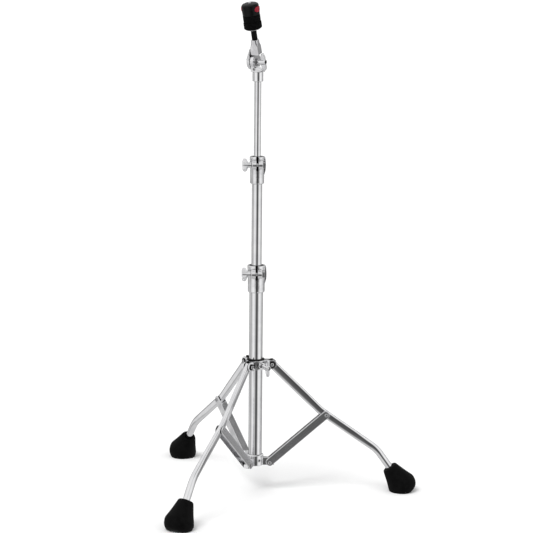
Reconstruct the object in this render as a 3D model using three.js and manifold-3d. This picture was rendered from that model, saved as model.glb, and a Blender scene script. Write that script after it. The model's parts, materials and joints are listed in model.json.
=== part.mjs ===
// Straight cymbal stand on a folding tripod, with two telescopic height joints,
// a serrated tilter and a push-button quick-release top.
// Millimetres, +Z up, standing on z = 0, one leg pointing along +X.
import * as THREE from 'three';
import { mergeVertices } from 'three/addons/utils/BufferGeometryUtils.js';
import Module from 'manifold-3d';

const wasm = await Module();
wasm.setup();

// Clearances and making
const seatGap = 0.3;
const hubSlideGap = 0.5;
const collarPlay = 0.8;
const overrun = 6;
const roundSides = 18;
const smallSides = 12;
const legCount = 3;

// Tubes
const baseTubeR = 12.7;
const middleTubeR = 9.55;
const topTubeR = 6.35;
const baseTubeWall = 1.5;
const middleTubeWall = 1.4;
const topTubeWall = 1.3;
const baseTubeLength = 353;
const middleTubeLength = 400;
const topTubeLength = 400;
const middleTubeShown = 152;
const topTubeShown = 137.5;

// Leg linkage, seen in one leg's own plane: r from the mast's axis, z from the floor
const hubPivotR = 30.6;
const upperLegLength = 141.46;
const upperLegSlope = 43.57;
const lowerLegLength = 117;
const lowerLegSlope = 34.8;
const ankleLength = 42.8;
const ankleSlope = 54.5;
const kneeLead = 11.8;
const kneeCorner = 9;
const ankleCorner = 13;
const braceLength = 139.98;
const collarPivotR = 27.6;

// Leg tube, pressed flat above the knee and round at the foot
const legPressedDepth = 15.5;
const legPressedWidth = 8.5;
const legKneeDepth = 14.2;
const legKneeWidth = 8.8;
const legRoundD = 13.2;
const legWall = 1.5;
const legSides = 10;
const legInFoot = 28;
const legCapStandOut = 2.2;
const legCapLean = 11;

// Rubber foot, lengths measured along its own sloping axis
const footEntryHeight = 46.3;
const footTopR = 14.3;
const footMaxR = 27.3;
const footFlareLength = 41;
const footLength = 61;
const footEndR = 17;
const footShoulderDrop = 1.2;

// Hub
const hubHeight = 17;
const hubRimR = 17.8;
const hubRimHeight = 2.8;
const hubWaistR = 16.4;
const hubBushWall = 1.9;
const hubBushFlangeR = 16.4;
const hubBushFlangeHeight = 1.6;
const hubSlitWidth = 2.2;
const hubSlitDepth = 0.7;
const hubSlitSpread = 29;
const cheekThickness = 2.8;
const cheekEndR = 8.2;
const slotFloorR = 21.6;
const screwBossR = 6.4;
const screwBossReach = 24;
const screwStandOff = 6;
const screwAzimuth = -60;

// Rivets and their bushes
const rivetR = 2.4;
const rivetBore = 1.1;
const rivetHeadR = 3.4;
const rivetHeadHeight = 1;
const legBushWall = 1.8;
const legBushFlangeR = 5.6;
const legBushFlangeHeight = 0.9;

// Channel brace
const braceSheet = 1.8;
const braceInnerWidth = 11.4;
const braceWebHeight = 8.6;
const braceEdgeDepth = 6.4;
const braceWebCutback = 13.5;

// Lower collar
const collarR = 15.5;
const collarHeight = 21;
const collarFootDrop = 4.5;
const collarLugWidth = 10.4;
const collarLugReach = 8;
const collarLugTopInner = 10.5;
const collarLugTopOuter = 8.6;
const collarLugCorner = 3.4;
const collarScrewR = 2.6;

// Height joints
const jointHeight = 50.4;
const jointGrip = 22;
const jointWallLower = 3.05;
const jointWallUpper = 3.4;
const jointBandHeight = 8;
const jointBandProud = 0.8;
const jointRecess = 0.9;
const jointRecessHeight = 1.3;
const jointChamfer = 1.6;
const jointSlotWidth = 1.8;
const clampGap = 4;
const clampEarWidth = 8.3;
const clampEarR = 7.8;
const clampBoltDrop = 13.6;
const clampBoltClear = 4.2;
const clampBoltR = 3;
const clampHeadSide = 10.4;
const clampHeadHeight = 4.4;
const sideRibProud = 3.2;
const sideRibWidth = 12;
const sideRibHeight = 33;

// Wing nuts and wing screw
const wingBossR = 4.9;
const wingBossLength = 17;
const wingSpan = 33.4;
const wingThickness = 4.4;
const wingDimpleR = 3.3;
const wingTurnJoints = 55;

// Tilter, in the frame of its hinge
const hingeHeightOnTube = 35.5;
const hingeAzimuth = -32;
const tiltAngle = 16.3;
const discR = 14.5;
const discThickness = 6.8;
const bracketDiscEdge = 2.5;
const toothCount = 20;
const toothHeight = 0.9;
const toothRingWidth = 3.4;
const bracketSleeveR = 9.85;
const bracketSleeveHeight = 17.5;
const bracketTubeDepth = 17;
const bracketScrewR = 2.3;
const bracketScrewDrop = 13.4;
const armLength = 42.7;
const armNeckR = 6.5;
const armShoulderR = 7.2;
const armShoulderGap = 0.8;
const tilterBoltR = 3;
const tilterHeadSide = 11;
const tilterHeadHeight = 3.2;
const tilterWasherR = 6.5;
const tilterWasherThickness = 1.2;

// Cymbal rod, felts and quick release, lengths measured up the rod from the hinge
const rodR = 3;
const rodTipR = 2.3;
const rodTipHeight = 1.6;
const rodSeatDepth = 20;
const rodProud = 2;
const sleeveR = 5.25;
const sleeveShoulderHeight = 19.2;
const sleeveSpigotR = 4.4;
const seatWasherR = 12.5;
const seatWasherThickness = 1.4;
const feltLowerR = 16.5;
const feltUpperR = 15.9;
const feltThickness = 12.8;
const feltCrown = 1.2;
const capR = 15.75;
const capHeight = 21;
const capWall = 2;
const capDomeHeight = 4.4;
const releasePlateHeight = 3;
const buttonHeight = 11;
const buttonWidth = 17;
const buttonProud = 1.1;
const buttonTravel = 1.6;
const buttonMidHeight = 10.6;
const buttonHeadDepth = 4.4;
const sliderHeight = 3.2;
const sliderWidth = 8.8;
const sliderRim = 2.2;

// Heights that follow from the sizes above
const fullTurn = 360;
const rad = THREE.MathUtils.degToRad;
const drop = (length, slope) => length * Math.sin(rad(slope));
const run = (length, slope) => length * Math.cos(rad(slope));
const ankle = new THREE.Vector2(
  hubPivotR + run(upperLegLength, upperLegSlope) + run(lowerLegLength, lowerLegSlope),
  footEntryHeight + drop(ankleLength, ankleSlope),
);
const footEntry = new THREE.Vector2(ankle.x + run(ankleLength, ankleSlope), footEntryHeight);
const bracePivot = new THREE.Vector2(
  hubPivotR + run(upperLegLength, upperLegSlope),
  ankle.y + drop(lowerLegLength, lowerLegSlope),
);
const hubPivot = new THREE.Vector2(hubPivotR, bracePivot.y + drop(upperLegLength, upperLegSlope));
const knee = new THREE.Vector2(
  bracePivot.x - run(kneeLead, lowerLegSlope),
  bracePivot.y + drop(kneeLead, lowerLegSlope),
);
const legRise = Math.atan2(hubPivot.y - knee.y, knee.x - hubPivot.x);
const braceRun = bracePivot.x - collarPivotR;
const collarPivot = new THREE.Vector2(
  collarPivotR,
  bracePivot.y - Math.sqrt(braceLength * braceLength - braceRun * braceRun),
);
const collarFoot = collarPivot.y - collarFootDrop;
const baseTubeTop = collarFoot + baseTubeLength;
const lowerJointFoot = baseTubeTop - jointGrip;
const lowerJointTop = lowerJointFoot + jointHeight;
const upperJointFoot = lowerJointTop + middleTubeShown;
const upperJointTop = upperJointFoot + jointHeight;
const middleTubeTop = upperJointFoot + jointGrip;
const bracketFoot = upperJointTop + topTubeShown;
const topTubeTop = bracketFoot + bracketTubeDepth;
const hingeHeight = bracketFoot + hingeHeightOnTube;
const sleeveFoot = armLength + seatGap;
const sleeveShoulder = sleeveFoot + sleeveShoulderHeight;
const feltFoot = sleeveShoulder + seatWasherThickness + seatGap + seatGap;
const upperFeltFoot = feltFoot + feltThickness + seatGap;
const capFoot = upperFeltFoot + feltThickness + seatGap;
const capTop = capFoot + capHeight;
const rodTop = capTop + rodProud;

// Finishes
const chrome = new THREE.MeshStandardMaterial({ color: 0xd9dadc, roughness: 0.08, metalness: 1 });
const castChrome = new THREE.MeshStandardMaterial({ color: 0xd2d3d5, roughness: 0.16, metalness: 1 });
const steel = new THREE.MeshStandardMaterial({ color: 0xb9bbbd, roughness: 0.3, metalness: 1 });
const nylon = new THREE.MeshStandardMaterial({ color: 0x141414, roughness: 0.5, metalness: 0 });
const rubber = new THREE.MeshStandardMaterial({ color: 0x111111, roughness: 0.75, metalness: 0 });
const felt = new THREE.MeshStandardMaterial({ color: 0x0d0d0d, roughness: 0.95, metalness: 0 });
const blackPlastic = new THREE.MeshStandardMaterial({ color: 0x161616, roughness: 0.35, metalness: 0 });
const redPlastic = new THREE.MeshStandardMaterial({ color: 0xb3202a, roughness: 0.4, metalness: 0 });

// Solids: closed geometries in, closed geometries out
function toSolid(geometry) {
  const bare = new THREE.BufferGeometry();
  bare.setAttribute('position', geometry.attributes.position.clone());
  if (geometry.index) bare.setIndex(geometry.index.clone());
  const merged = mergeVertices(bare);
  const corners = merged.attributes.position;
  const faces = [];
  const a = new THREE.Vector3();
  const b = new THREE.Vector3();
  const c = new THREE.Vector3();
  let volume = 0;
  for (let i = 0; i < merged.index.count; i += 3) {
    const [p, q, r] = [0, 1, 2].map((k) => merged.index.getX(i + k));
    if (p === q || q === r || r === p) continue;
    faces.push([p, q, r]);
    a.fromBufferAttribute(corners, p);
    b.fromBufferAttribute(corners, q);
    c.fromBufferAttribute(corners, r);
    volume += a.dot(b.cross(c));
  }
  const outward = volume > 0 ? faces : faces.map(([p, q, r]) => [p, r, q]);
  return new wasm.Manifold(new wasm.Mesh({
    numProp: 3,
    vertProperties: Float32Array.from(corners.array),
    triVerts: Uint32Array.from(outward.flat()),
  }));
}

function toGeometry(solid) {
  const mesh = solid.getMesh();
  const geometry = new THREE.BufferGeometry();
  geometry.setAttribute('position', new THREE.BufferAttribute(Float32Array.from(mesh.vertProperties), 3));
  geometry.setIndex(new THREE.BufferAttribute(Uint32Array.from(mesh.triVerts), 1));
  geometry.computeVertexNormals();
  return geometry;
}

function cut(body, ...tools) {
  return toGeometry(tools.reduce((left, tool) => left.subtract(toSolid(tool)), toSolid(body)));
}

function join(...bodies) {
  return toGeometry(bodies.map(toSolid).reduce((sum, body) => sum.add(body)));
}

function meet(first, second) {
  return toGeometry(toSolid(first).intersect(toSolid(second)));
}

// A closed profile of [radius, height] pairs turned about Z
function turned(profile, sides = roundSides) {
  const points = profile.map(([r, z]) => new THREE.Vector2(r, z));
  if (profile[0][0] > 0) points.push(points[0].clone());
  return new THREE.LatheGeometry(points, sides).rotateX(Math.PI / 2);
}

function pipe(outer, inner, foot, top, sides = roundSides) {
  return turned([[inner, foot], [outer, foot], [outer, top], [inner, top]], sides);
}

function rod(radius, foot, top, sides = smallSides) {
  return turned([[0, foot], [radius, foot], [radius, top], [0, top]], sides);
}

// Turns geometry made along Z so that it lies along X or along Y
const alongX = (geometry) => geometry.rotateY(Math.PI / 2);
const alongY = (geometry) => geometry.rotateX(-Math.PI / 2);

function outline(points) {
  return new THREE.Shape(points.map(([x, y]) => new THREE.Vector2(x, y)));
}

function slab(shape, thickness, curveSegments = smallSides / 2) {
  return new THREE.ExtrudeGeometry(shape, { depth: thickness, bevelEnabled: false, curveSegments })
    .translate(0, 0, -thickness / 2);
}

// Outlines drawn in XZ or in YZ and given a thickness across
const slabXZ = (shape, thickness, segments) => slab(shape, thickness, segments).rotateX(Math.PI / 2);
const slabYZ = (shape, thickness, segments) => slabXZ(shape, thickness, segments).rotateZ(Math.PI / 2);

function block(low, high) {
  const size = high.map((value, i) => value - low[i]);
  return new THREE.BoxGeometry(...size)
    .translate(...low.map((value, i) => value + size[i] / 2));
}

function named(name, geometry, material) {
  const mesh = new THREE.Mesh(geometry, material);
  mesh.name = name;
  return mesh;
}

// Hub
const hubFoot = hubPivot.y - hubHeight / 2;
const hubTop = hubPivot.y + hubHeight / 2;
const cheekOuter = legPressedWidth / 2 + seatGap + cheekThickness;
const hubBoreR = baseTubeR + hubSlideGap + hubBushWall + seatGap;
const bushHoleR = rivetR + seatGap + legBushWall + seatGap;

// Upright slits in the waist on both sides of each gap between the legs
function hubSlits() {
  const slits = [];
  for (let i = 0; i < legCount; i += 1) {
    [-hubSlitSpread, hubSlitSpread].forEach((side) => {
      const middle = screwAzimuth + (i * fullTurn) / legCount;
      slits.push(block(
        [hubWaistR - hubSlitDepth, -hubSlitWidth / 2, hubFoot + hubRimHeight],
        [hubRimR + hubSlitDepth, hubSlitWidth / 2, hubTop - hubRimHeight],
      ).rotateZ(rad(middle + side)));
    });
  }
  return slits;
}

function hubCasting() {
  const ring = turned([
    [hubBoreR, hubFoot],
    [hubRimR, hubFoot],
    [hubRimR, hubFoot + hubRimHeight],
    [hubWaistR, hubFoot + hubRimHeight],
    [hubWaistR, hubTop - hubRimHeight],
    [hubRimR, hubTop - hubRimHeight],
    [hubRimR, hubTop],
    [hubBoreR, hubTop],
  ]);
  const cheekShape = new THREE.Shape();
  cheekShape.moveTo(hubBoreR, hubFoot);
  cheekShape.lineTo(hubPivotR, hubFoot);
  cheekShape.absellipse(hubPivotR, hubPivot.y, cheekEndR, hubHeight / 2, -Math.PI / 2, Math.PI / 2);
  cheekShape.lineTo(hubBoreR, hubTop);
  const boss = alongX(rod(screwBossR, hubBoreR + seatGap, screwBossReach))
    .translate(0, 0, hubPivot.y)
    .rotateZ(rad(screwAzimuth));
  const bodies = [ring, boss];
  const tools = [rod(hubBoreR, hubFoot - overrun, hubTop + overrun, roundSides)];
  for (let i = 0; i < legCount; i += 1) {
    const turn = (i * 2 * Math.PI) / legCount;
    bodies.push(slabXZ(cheekShape, 2 * cheekOuter).rotateZ(turn));
    const slotHalf = legPressedWidth / 2 + seatGap;
    tools.push(block(
      [slotFloorR, -slotHalf, hubFoot - overrun],
      [hubPivotR + cheekEndR + overrun, slotHalf, hubTop + overrun],
    ).rotateZ(turn));
    tools.push(alongY(rod(bushHoleR, -cheekOuter - overrun, cheekOuter + overrun))
      .translate(hubPivotR, 0, hubPivot.y)
      .rotateZ(turn));
  }
  tools.push(alongX(rod(clampBoltR + seatGap, 0, screwBossReach + overrun))
    .translate(0, 0, hubPivot.y)
    .rotateZ(rad(screwAzimuth)), ...hubSlits());
  return cut(join(...bodies), ...tools);
}

function hubBush() {
  const inner = baseTubeR + hubSlideGap;
  const flangeFoot = hubTop + seatGap;
  const sleeve = turned([
    [inner, hubFoot],
    [inner + hubBushWall, hubFoot],
    [inner + hubBushWall, flangeFoot],
    [hubBushFlangeR, flangeFoot],
    [hubBushFlangeR, flangeFoot + hubBushFlangeHeight],
    [inner, flangeFoot + hubBushFlangeHeight],
  ]);
  const hole = alongX(rod(clampBoltR + seatGap, 0, hubRimR))
    .translate(0, 0, hubPivot.y)
    .rotateZ(rad(screwAzimuth));
  return cut(sleeve, hole);
}

// One ear of a wing: [along the boss, out from its axis], as shares of boss length and half span
const wingEarShares = [
  [0.36, 0.0], [0.36, 0.28], [0.42, 0.5], [0.5, 0.76], [0.58, 0.92], [0.68, 0.99],
  [0.78, 1.0], [0.89, 0.93], [0.97, 0.78], [1.0, 0.56], [0.99, 0.28], [0.98, 0.0],
];

function wing(boreR, boreLength) {
  const ear = wingEarShares.map(([along, out]) => [along * wingBossLength, (out * wingSpan) / 2]);
  const mirrored = ear.slice(1, -1).reverse().map(([along, out]) => [along, -out]);
  const ears = slab(outline([...ear, ...mirrored]), wingThickness).rotateX(Math.PI / 2);
  const boss = alongX(turned([
    [0, 0],
    [wingBossR, 0],
    [wingBossR, wingBossLength - jointChamfer / 2],
    [wingBossR - jointChamfer / 2, wingBossLength],
    [0, wingBossLength],
  ], smallSides));
  const bore = alongX(rod(boreR, -overrun, boreLength));
  const dimple = alongX(rod(wingDimpleR, wingBossLength - wingThickness / 2, wingBossLength + overrun));
  return cut(join(boss, ears), bore, dimple);
}

function hubWingScrew() {
  const bossFoot = screwBossReach + screwStandOff;
  const shank = alongX(rod(clampBoltR, baseTubeR + seatGap, bossFoot + wingThickness));
  return join(wing(clampBoltR / 2, 0).translate(bossFoot, 0, 0), shank);
}

// Leg: a tube whose section changes along a bent path
function legPath() {
  const plane = (point) => new THREE.Vector3(point.x, 0, point.y);
  const toward = (from, to, distance) => from.clone().lerp(to, distance / from.distanceTo(to));
  const start = toward(hubPivot, knee, -legPressedDepth / 2);
  const end = toward(footEntry, ankle, -legInFoot);
  const path = new THREE.CurvePath();
  const corner = (before, at, after, reach) => {
    const into = toward(at, before, reach);
    const out = toward(at, after, reach);
    return { into, curve: new THREE.QuadraticBezierCurve3(plane(into), plane(at), plane(out)), out };
  };
  const bend = corner(start, knee, ankle, kneeCorner);
  const heel = corner(knee, ankle, end, ankleCorner);
  path.add(new THREE.LineCurve3(plane(start), plane(bend.into)));
  path.add(bend.curve);
  path.add(new THREE.LineCurve3(plane(bend.out), plane(heel.into)));
  path.add(heel.curve);
  path.add(new THREE.LineCurve3(plane(heel.out), plane(end)));
  return path;
}

// Sections along the leg: stretch of the path, share along it, then shares pressed, knee and round
const legStationShares = [
  [0, 0, 1, 0, 0], [0, 0.72, 1, 0, 0], [1, 0, 0.1, 0.9, 0], [1, 0.5, 0, 1, 0], [1, 1, 0, 1, 0],
  [3, 0, 0, 0.9, 0.1], [3, 0.5, 0, 0.6, 0.4], [3, 1, 0, 0.25, 0.75], [4, 0.35, 0, 0, 1], [4, 1, 0, 0, 1],
];
const pressedSquareness = 3.4;
const roundSquareness = 2;

function legRing(curve, share, weights, inset) {
  const [pressed, knee, round] = weights;
  const depth = pressed * legPressedDepth + knee * legKneeDepth + round * legRoundD - 2 * inset;
  const width = pressed * legPressedWidth + knee * legKneeWidth + round * legRoundD - 2 * inset;
  const power = 2 / (round * roundSquareness + (1 - round) * pressedSquareness);
  const centre = curve.getPoint(share);
  const ahead = curve.getTangent(share);
  const up = new THREE.Vector3(-ahead.z, 0, ahead.x);
  const across = new THREE.Vector3(0, 1, 0);
  const ring = [];
  for (let j = 0; j < legSides; j += 1) {
    const angle = ((j + 0.5) * 2 * Math.PI) / legSides;
    const bent = (value) => Math.sign(value) * Math.abs(value) ** power;
    ring.push(centre.clone()
      .addScaledVector(up, (bent(Math.cos(angle)) * depth) / 2)
      .addScaledVector(across, (bent(Math.sin(angle)) * width) / 2));
  }
  return ring;
}

function loftedTube(outerRings, innerRings) {
  const rings = [...outerRings, ...innerRings.slice().reverse()];
  const sides = rings[0].length;
  const positions = rings.flat().flatMap((point) => point.toArray());
  const index = [];
  rings.forEach((ring, i) => {
    const next = (i + 1) % rings.length;
    for (let j = 0; j < sides; j += 1) {
      const k = (j + 1) % sides;
      index.push(i * sides + j, i * sides + k, next * sides + k);
      index.push(i * sides + j, next * sides + k, next * sides + j);
    }
  });
  const geometry = new THREE.BufferGeometry();
  geometry.setAttribute('position', new THREE.Float32BufferAttribute(positions, 3));
  geometry.setIndex(index);
  return geometry;
}

function legTube() {
  const { curves } = legPath();
  const rings = (inset) => legStationShares.map(
    ([stretch, share, ...weights]) => legRing(curves[stretch], share, weights, inset),
  );
  const body = loftedTube(rings(0), rings(legWall));
  const reach = legPressedDepth / 2 + overrun;
  const corners = new THREE.Shape();
  corners.moveTo(0, reach);
  corners.lineTo(-reach, reach);
  corners.lineTo(-reach, -reach);
  corners.lineTo(0, -reach);
  corners.absarc(0, 0, legPressedDepth / 2, -Math.PI / 2, Math.PI / 2, true);
  const rounding = slabXZ(corners, legPressedWidth + overrun)
    .rotateY(legRise)
    .translate(hubPivot.x, 0, hubPivot.y);
  const pivotHole = alongY(rod(bushHoleR, -legPressedWidth, legPressedWidth))
    .translate(hubPivot.x, 0, hubPivot.y);
  const braceHole = alongY(rod(rivetR + seatGap, -legPressedWidth, legPressedWidth))
    .translate(bracePivot.x, 0, bracePivot.y);
  return cut(body, rounding, pivotHole, braceHole);
}

// Black cap set in the upper edge of the leg's rounded end
function legCap() {
  const seat = legPressedDepth / 2 + seatGap;
  const bump = rod(legPressedWidth / 2 - legWall / 2, seat, seat + legCapStandOut, smallSides);
  const crown = rod(legPressedWidth / 2 - legWall, seat, seat + legCapStandOut + legWall / 2, smallSides);
  return join(bump, crown)
    .rotateY(rad(-legCapLean))
    .translate(hubPivot.x, 0, hubPivot.y);
}

// Below the widest ring: [out from the end radius, down the tail]
const footTailShares = [[0.88, 0.42], [0.5, 0.76]];

function foot() {
  const boreR = legRoundD / 2 + seatGap;
  const boreEnd = legInFoot + seatGap;
  const shoulder = footShoulderDrop;
  const body = turned([
    [0, boreEnd],
    [boreR, boreEnd],
    [boreR, 0],
    [footTopR - shoulder, 0],
    [footTopR, shoulder],
    [(footTopR + footMaxR) / 2, footFlareLength / 2 + shoulder],
    [footMaxR - shoulder / 2, footFlareLength - shoulder * 3],
    [footMaxR, footFlareLength],
    ...footTailShares.map(([out, along]) => [
      footEndR + (footMaxR - footEndR) * out,
      footFlareLength + (footLength - footFlareLength) * along,
    ]),
    [footEndR, footLength - shoulder],
    [0, footLength],
  ]);
  const placed = body
    .rotateY(Math.PI / 2 + rad(ankleSlope))
    .translate(footEntry.x, 0, footEntry.y);
  const floor = block(
    [footEntry.x - footLength * 2, -footMaxR - overrun, -footLength * 2],
    [footEntry.x + footLength * 2, footMaxR + overrun, 0],
  );
  return cut(placed, floor);
}

function hollowRivet(reach, headR) {
  const head = reach + rivetHeadHeight;
  return alongY(turned([
    [rivetBore, -head],
    [headR, -reach],
    [rivetR, -reach],
    [rivetR, reach],
    [headR, reach],
    [rivetBore, head],
  ], smallSides));
}

const bushFlangeFoot = cheekOuter + seatGap;
const bushFlangeTop = bushFlangeFoot + legBushFlangeHeight;
const legRivet = () => hollowRivet(bushFlangeTop + seatGap, rivetHeadR)
  .translate(hubPivot.x, 0, hubPivot.y);

function legBush() {
  const inner = rivetR + seatGap;
  const outer = inner + legBushWall;
  return alongY(turned([
    [inner, -bushFlangeTop],
    [legBushFlangeR, -bushFlangeTop],
    [legBushFlangeR, -bushFlangeFoot],
    [outer, -bushFlangeFoot],
    [outer, bushFlangeFoot],
    [legBushFlangeR, bushFlangeFoot],
    [legBushFlangeR, bushFlangeTop],
    [inner, bushFlangeTop],
  ], smallSides)).translate(hubPivot.x, 0, hubPivot.y);
}

// Brace, drawn along its own pivot line with the web on the side of +Y
const braceRise = Math.atan2(bracePivot.y - collarPivot.y, braceRun);
const braceOuter = braceInnerWidth / 2 + braceSheet;

function brace() {
  const middle = (braceWebHeight - braceEdgeDepth) / 2;
  const half = (braceWebHeight + braceEdgeDepth) / 2;
  const side = new THREE.Shape();
  side.moveTo(0, -braceEdgeDepth);
  side.lineTo(braceLength, -braceEdgeDepth);
  side.absellipse(braceLength, middle, braceEdgeDepth, half, -Math.PI / 2, Math.PI / 2);
  side.lineTo(0, braceWebHeight);
  side.absellipse(0, middle, braceEdgeDepth, half, Math.PI / 2, (3 * Math.PI) / 2);
  const open = braceEdgeDepth + overrun;
  const webInner = braceWebHeight - braceSheet;
  const channel = outline([
    [-open, -open],
    [braceLength + open, -open],
    [braceLength + open, open],
    [braceLength - braceWebCutback, open],
    [braceLength - braceWebCutback, webInner],
    [braceWebCutback, webInner],
    [braceWebCutback, open],
    [-open, open],
  ]);
  const hole = () => alongY(rod(rivetR + seatGap, -braceOuter - overrun, braceOuter + overrun));
  return cut(
    slabXZ(side, 2 * braceOuter),
    slabXZ(channel, braceInnerWidth),
    hole(),
    hole().translate(braceLength, 0, 0),
  )
    .rotateY(-braceRise)
    .translate(collarPivot.x, 0, collarPivot.y);
}

const braceRivet = () => hollowRivet(braceOuter + seatGap, rivetHeadR)
  .translate(bracePivot.x, 0, bracePivot.y);
const collarRivet = () => hollowRivet(braceOuter + seatGap, rivetHeadR)
  .translate(collarPivot.x, 0, collarPivot.y);

// Lower collar with a lug for each brace
function lowerCollar() {
  const bore = baseTubeR + seatGap;
  const collarTop = collarFoot + collarHeight;
  const ring = turned([
    [bore, collarFoot],
    [collarR - jointChamfer / 2, collarFoot],
    [collarR, collarFoot + jointChamfer / 2],
    [collarR, collarTop - jointChamfer],
    [collarR - jointChamfer, collarTop],
    [bore, collarTop],
  ]);
  const lugEnd = collarPivotR + collarLugReach;
  const lugShape = outline([
    [bore, collarFoot],
    [lugEnd, collarFoot],
    [lugEnd, collarPivot.y + collarLugCorner],
    [collarPivotR + collarLugCorner, collarPivot.y + collarLugTopOuter],
    [bore, collarPivot.y + collarLugTopInner],
  ]);
  const bodies = [ring];
  const tools = [rod(bore, collarFoot - overrun, collarTop + overrun, roundSides)];
  for (let i = 0; i < legCount; i += 1) {
    const turn = (i * 2 * Math.PI) / legCount;
    bodies.push(slabXZ(lugShape, collarLugWidth).rotateZ(turn));
    tools.push(alongY(rod(rivetR + collarPlay, -collarLugWidth, collarLugWidth))
      .translate(collarPivot.x, 0, collarPivot.y)
      .rotateZ(turn));
  }
  tools.push(alongX(rod(collarScrewR + seatGap, bore - seatGap, collarR + overrun))
    .translate(0, 0, collarFoot + collarHeight / 2)
    .rotateZ(rad(screwAzimuth)));
  return cut(join(...bodies), ...tools);
}

function collarScrew() {
  const inner = baseTubeR + seatGap;
  return alongX(turned([
    [0, inner],
    [collarScrewR, inner],
    [collarScrewR, collarR],
    [collarScrewR / 2, collarR + seatGap],
    [collarScrewR / 2, collarR - seatGap],
    [0, collarR - seatGap],
  ], smallSides)).translate(0, 0, collarFoot + collarHeight / 2).rotateZ(rad(screwAzimuth));
}

// C-clamp height joint, standing on z = 0, its split facing -Y
function jointFrame(outerTubeR, wall) {
  const sleeve = outerTubeR + wall;
  return {
    bore: outerTubeR + seatGap,
    sleeve,
    boltY: -(sleeve + clampBoltR + clampBoltClear),
    boltZ: jointHeight - clampBoltDrop,
    earOuter: clampGap / 2 + clampEarWidth,
  };
}

// The strap on the casting's side: [how far proud, how far down]
const sideRibShares = [[0, 1], [0.8, 0.72], [1, 0.45], [0.8, 0.12], [0.5, 0]];

function jointCasting(outerTubeR, wall) {
  const { bore, sleeve, boltY, boltZ, earOuter } = jointFrame(outerTubeR, wall);
  const band = sleeve + jointBandProud;
  const bandFoot = jointHeight - jointBandHeight;
  const ring = turned([
    [bore, 0],
    [sleeve - jointChamfer, 0],
    [sleeve, jointChamfer],
    [sleeve, bandFoot - jointRecessHeight - jointBandHeight],
    [band, bandFoot - jointBandHeight],
    [band, bandFoot - jointRecessHeight],
    [band - jointRecess, bandFoot - jointRecessHeight],
    [band - jointRecess, bandFoot],
    [band, bandFoot],
    [band, jointHeight - jointChamfer / 2],
    [band - jointChamfer / 2, jointHeight],
    [bore, jointHeight],
  ]);
  const earShape = new THREE.Shape();
  earShape.moveTo(-bore, boltZ + clampEarR);
  earShape.lineTo(boltY, boltZ + clampEarR);
  earShape.absarc(boltY, boltZ, clampEarR, Math.PI / 2, (3 * Math.PI) / 2);
  earShape.lineTo(-bore, boltZ - clampEarR);
  const ears = slabYZ(earShape, 2 * earOuter);
  const ribTop = jointHeight - jointChamfer;
  const rib = slabXZ(outline([
    [bore, ribTop - sideRibHeight],
    ...sideRibShares.map(([out, down]) => [sleeve + out * sideRibProud, ribTop - down * sideRibHeight]),
    [bore, ribTop],
  ]), sideRibWidth);
  const mouth = block(
    [-clampGap / 2, boltY - clampEarR - overrun, boltZ - clampEarR - clampGap],
    [clampGap / 2, 0, jointHeight + overrun],
  );
  const slot = block(
    [-jointSlotWidth / 2, -sleeve - overrun, -overrun],
    [jointSlotWidth / 2, 0, jointHeight],
  );
  const boltHole = alongX(rod(clampBoltR + seatGap, -earOuter - overrun, earOuter + overrun))
    .translate(0, boltY, boltZ);
  return cut(
    join(ring, ears, rib),
    rod(bore, -overrun, jointHeight + overrun, roundSides),
    mouth,
    slot,
    boltHole,
  );
}

function jointBush(outerTubeR, innerTubeR) {
  const foot = jointGrip + seatGap;
  const edge = jointChamfer / 2;
  return turned([
    [innerTubeR + seatGap, foot],
    [outerTubeR, foot],
    [outerTubeR, jointHeight - edge],
    [outerTubeR - edge, jointHeight],
    [innerTubeR + seatGap, jointHeight],
  ]);
}

// Square head on the right, shank to the left into the wing nut
function jointBolt(outerTubeR, wall) {
  const { boltY, boltZ, earOuter } = jointFrame(outerTubeR, wall);
  const seat = earOuter + seatGap;
  const head = block(
    [seat, -clampHeadSide / 2, -clampHeadSide / 2],
    [seat + clampHeadHeight, clampHeadSide / 2, clampHeadSide / 2],
  );
  const shank = alongX(rod(clampBoltR, -seat - wingBossLength + wingThickness, seat + clampHeadHeight / 2));
  return join(head, shank).translate(0, boltY, boltZ);
}

function nutOnJoint(outerTubeR, wall) {
  const { boltY, boltZ, earOuter } = jointFrame(outerTubeR, wall);
  return wing(clampBoltR + seatGap, wingBossLength + overrun)
    .rotateX(rad(wingTurnJoints))
    .rotateZ(Math.PI)
    .translate(-earOuter - seatGap, boltY, boltZ);
}

// Radial teeth on one face of a disc that lies across X
function toothCutters(face, side) {
  const cutters = [];
  const pitch = (2 * Math.PI) / toothCount;
  const half = discR * Math.tan(pitch / 4);
  for (let i = 0; i < toothCount; i += 1) {
    const groove = new THREE.CylinderGeometry(half, half, toothRingWidth + overrun, 4, 1)
      .rotateX(Math.PI / 2)
      .scale(toothHeight / half, 1, 1)
      .translate(face, 0, discR - toothRingWidth / 2 + overrun / 2)
      .rotateX(i * pitch + (side * pitch) / 4);
    cutters.push(groove);
  }
  return cutters;
}

// Tilter pieces, with the hinge axis along X and the mast along Z
const bracketFace = -(bracketDiscEdge + discThickness);
const armFace = bracketFace - seatGap;

// Heights in the tilter as shares: of the drop from hinge to sleeve, and of the arm's length
const flareNeckShare = 0.82;
const flareDiscShare = 0.5;
const armTaperShare = 0.84;
const armShoulderShare = 0.7;
const armFlankShare = 0.62;
const armHipShare = 0.42;
const armHipWidthShare = 1.5;
const discFlankShare = 0.55;
// Where the two discs' rims meet the castings' flanks, in degrees round the hinge
const bracketRimFrom = -38;
const bracketRimTo = 218;
const armRimFrom = 160;
const armRimTo = 380;

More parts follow.
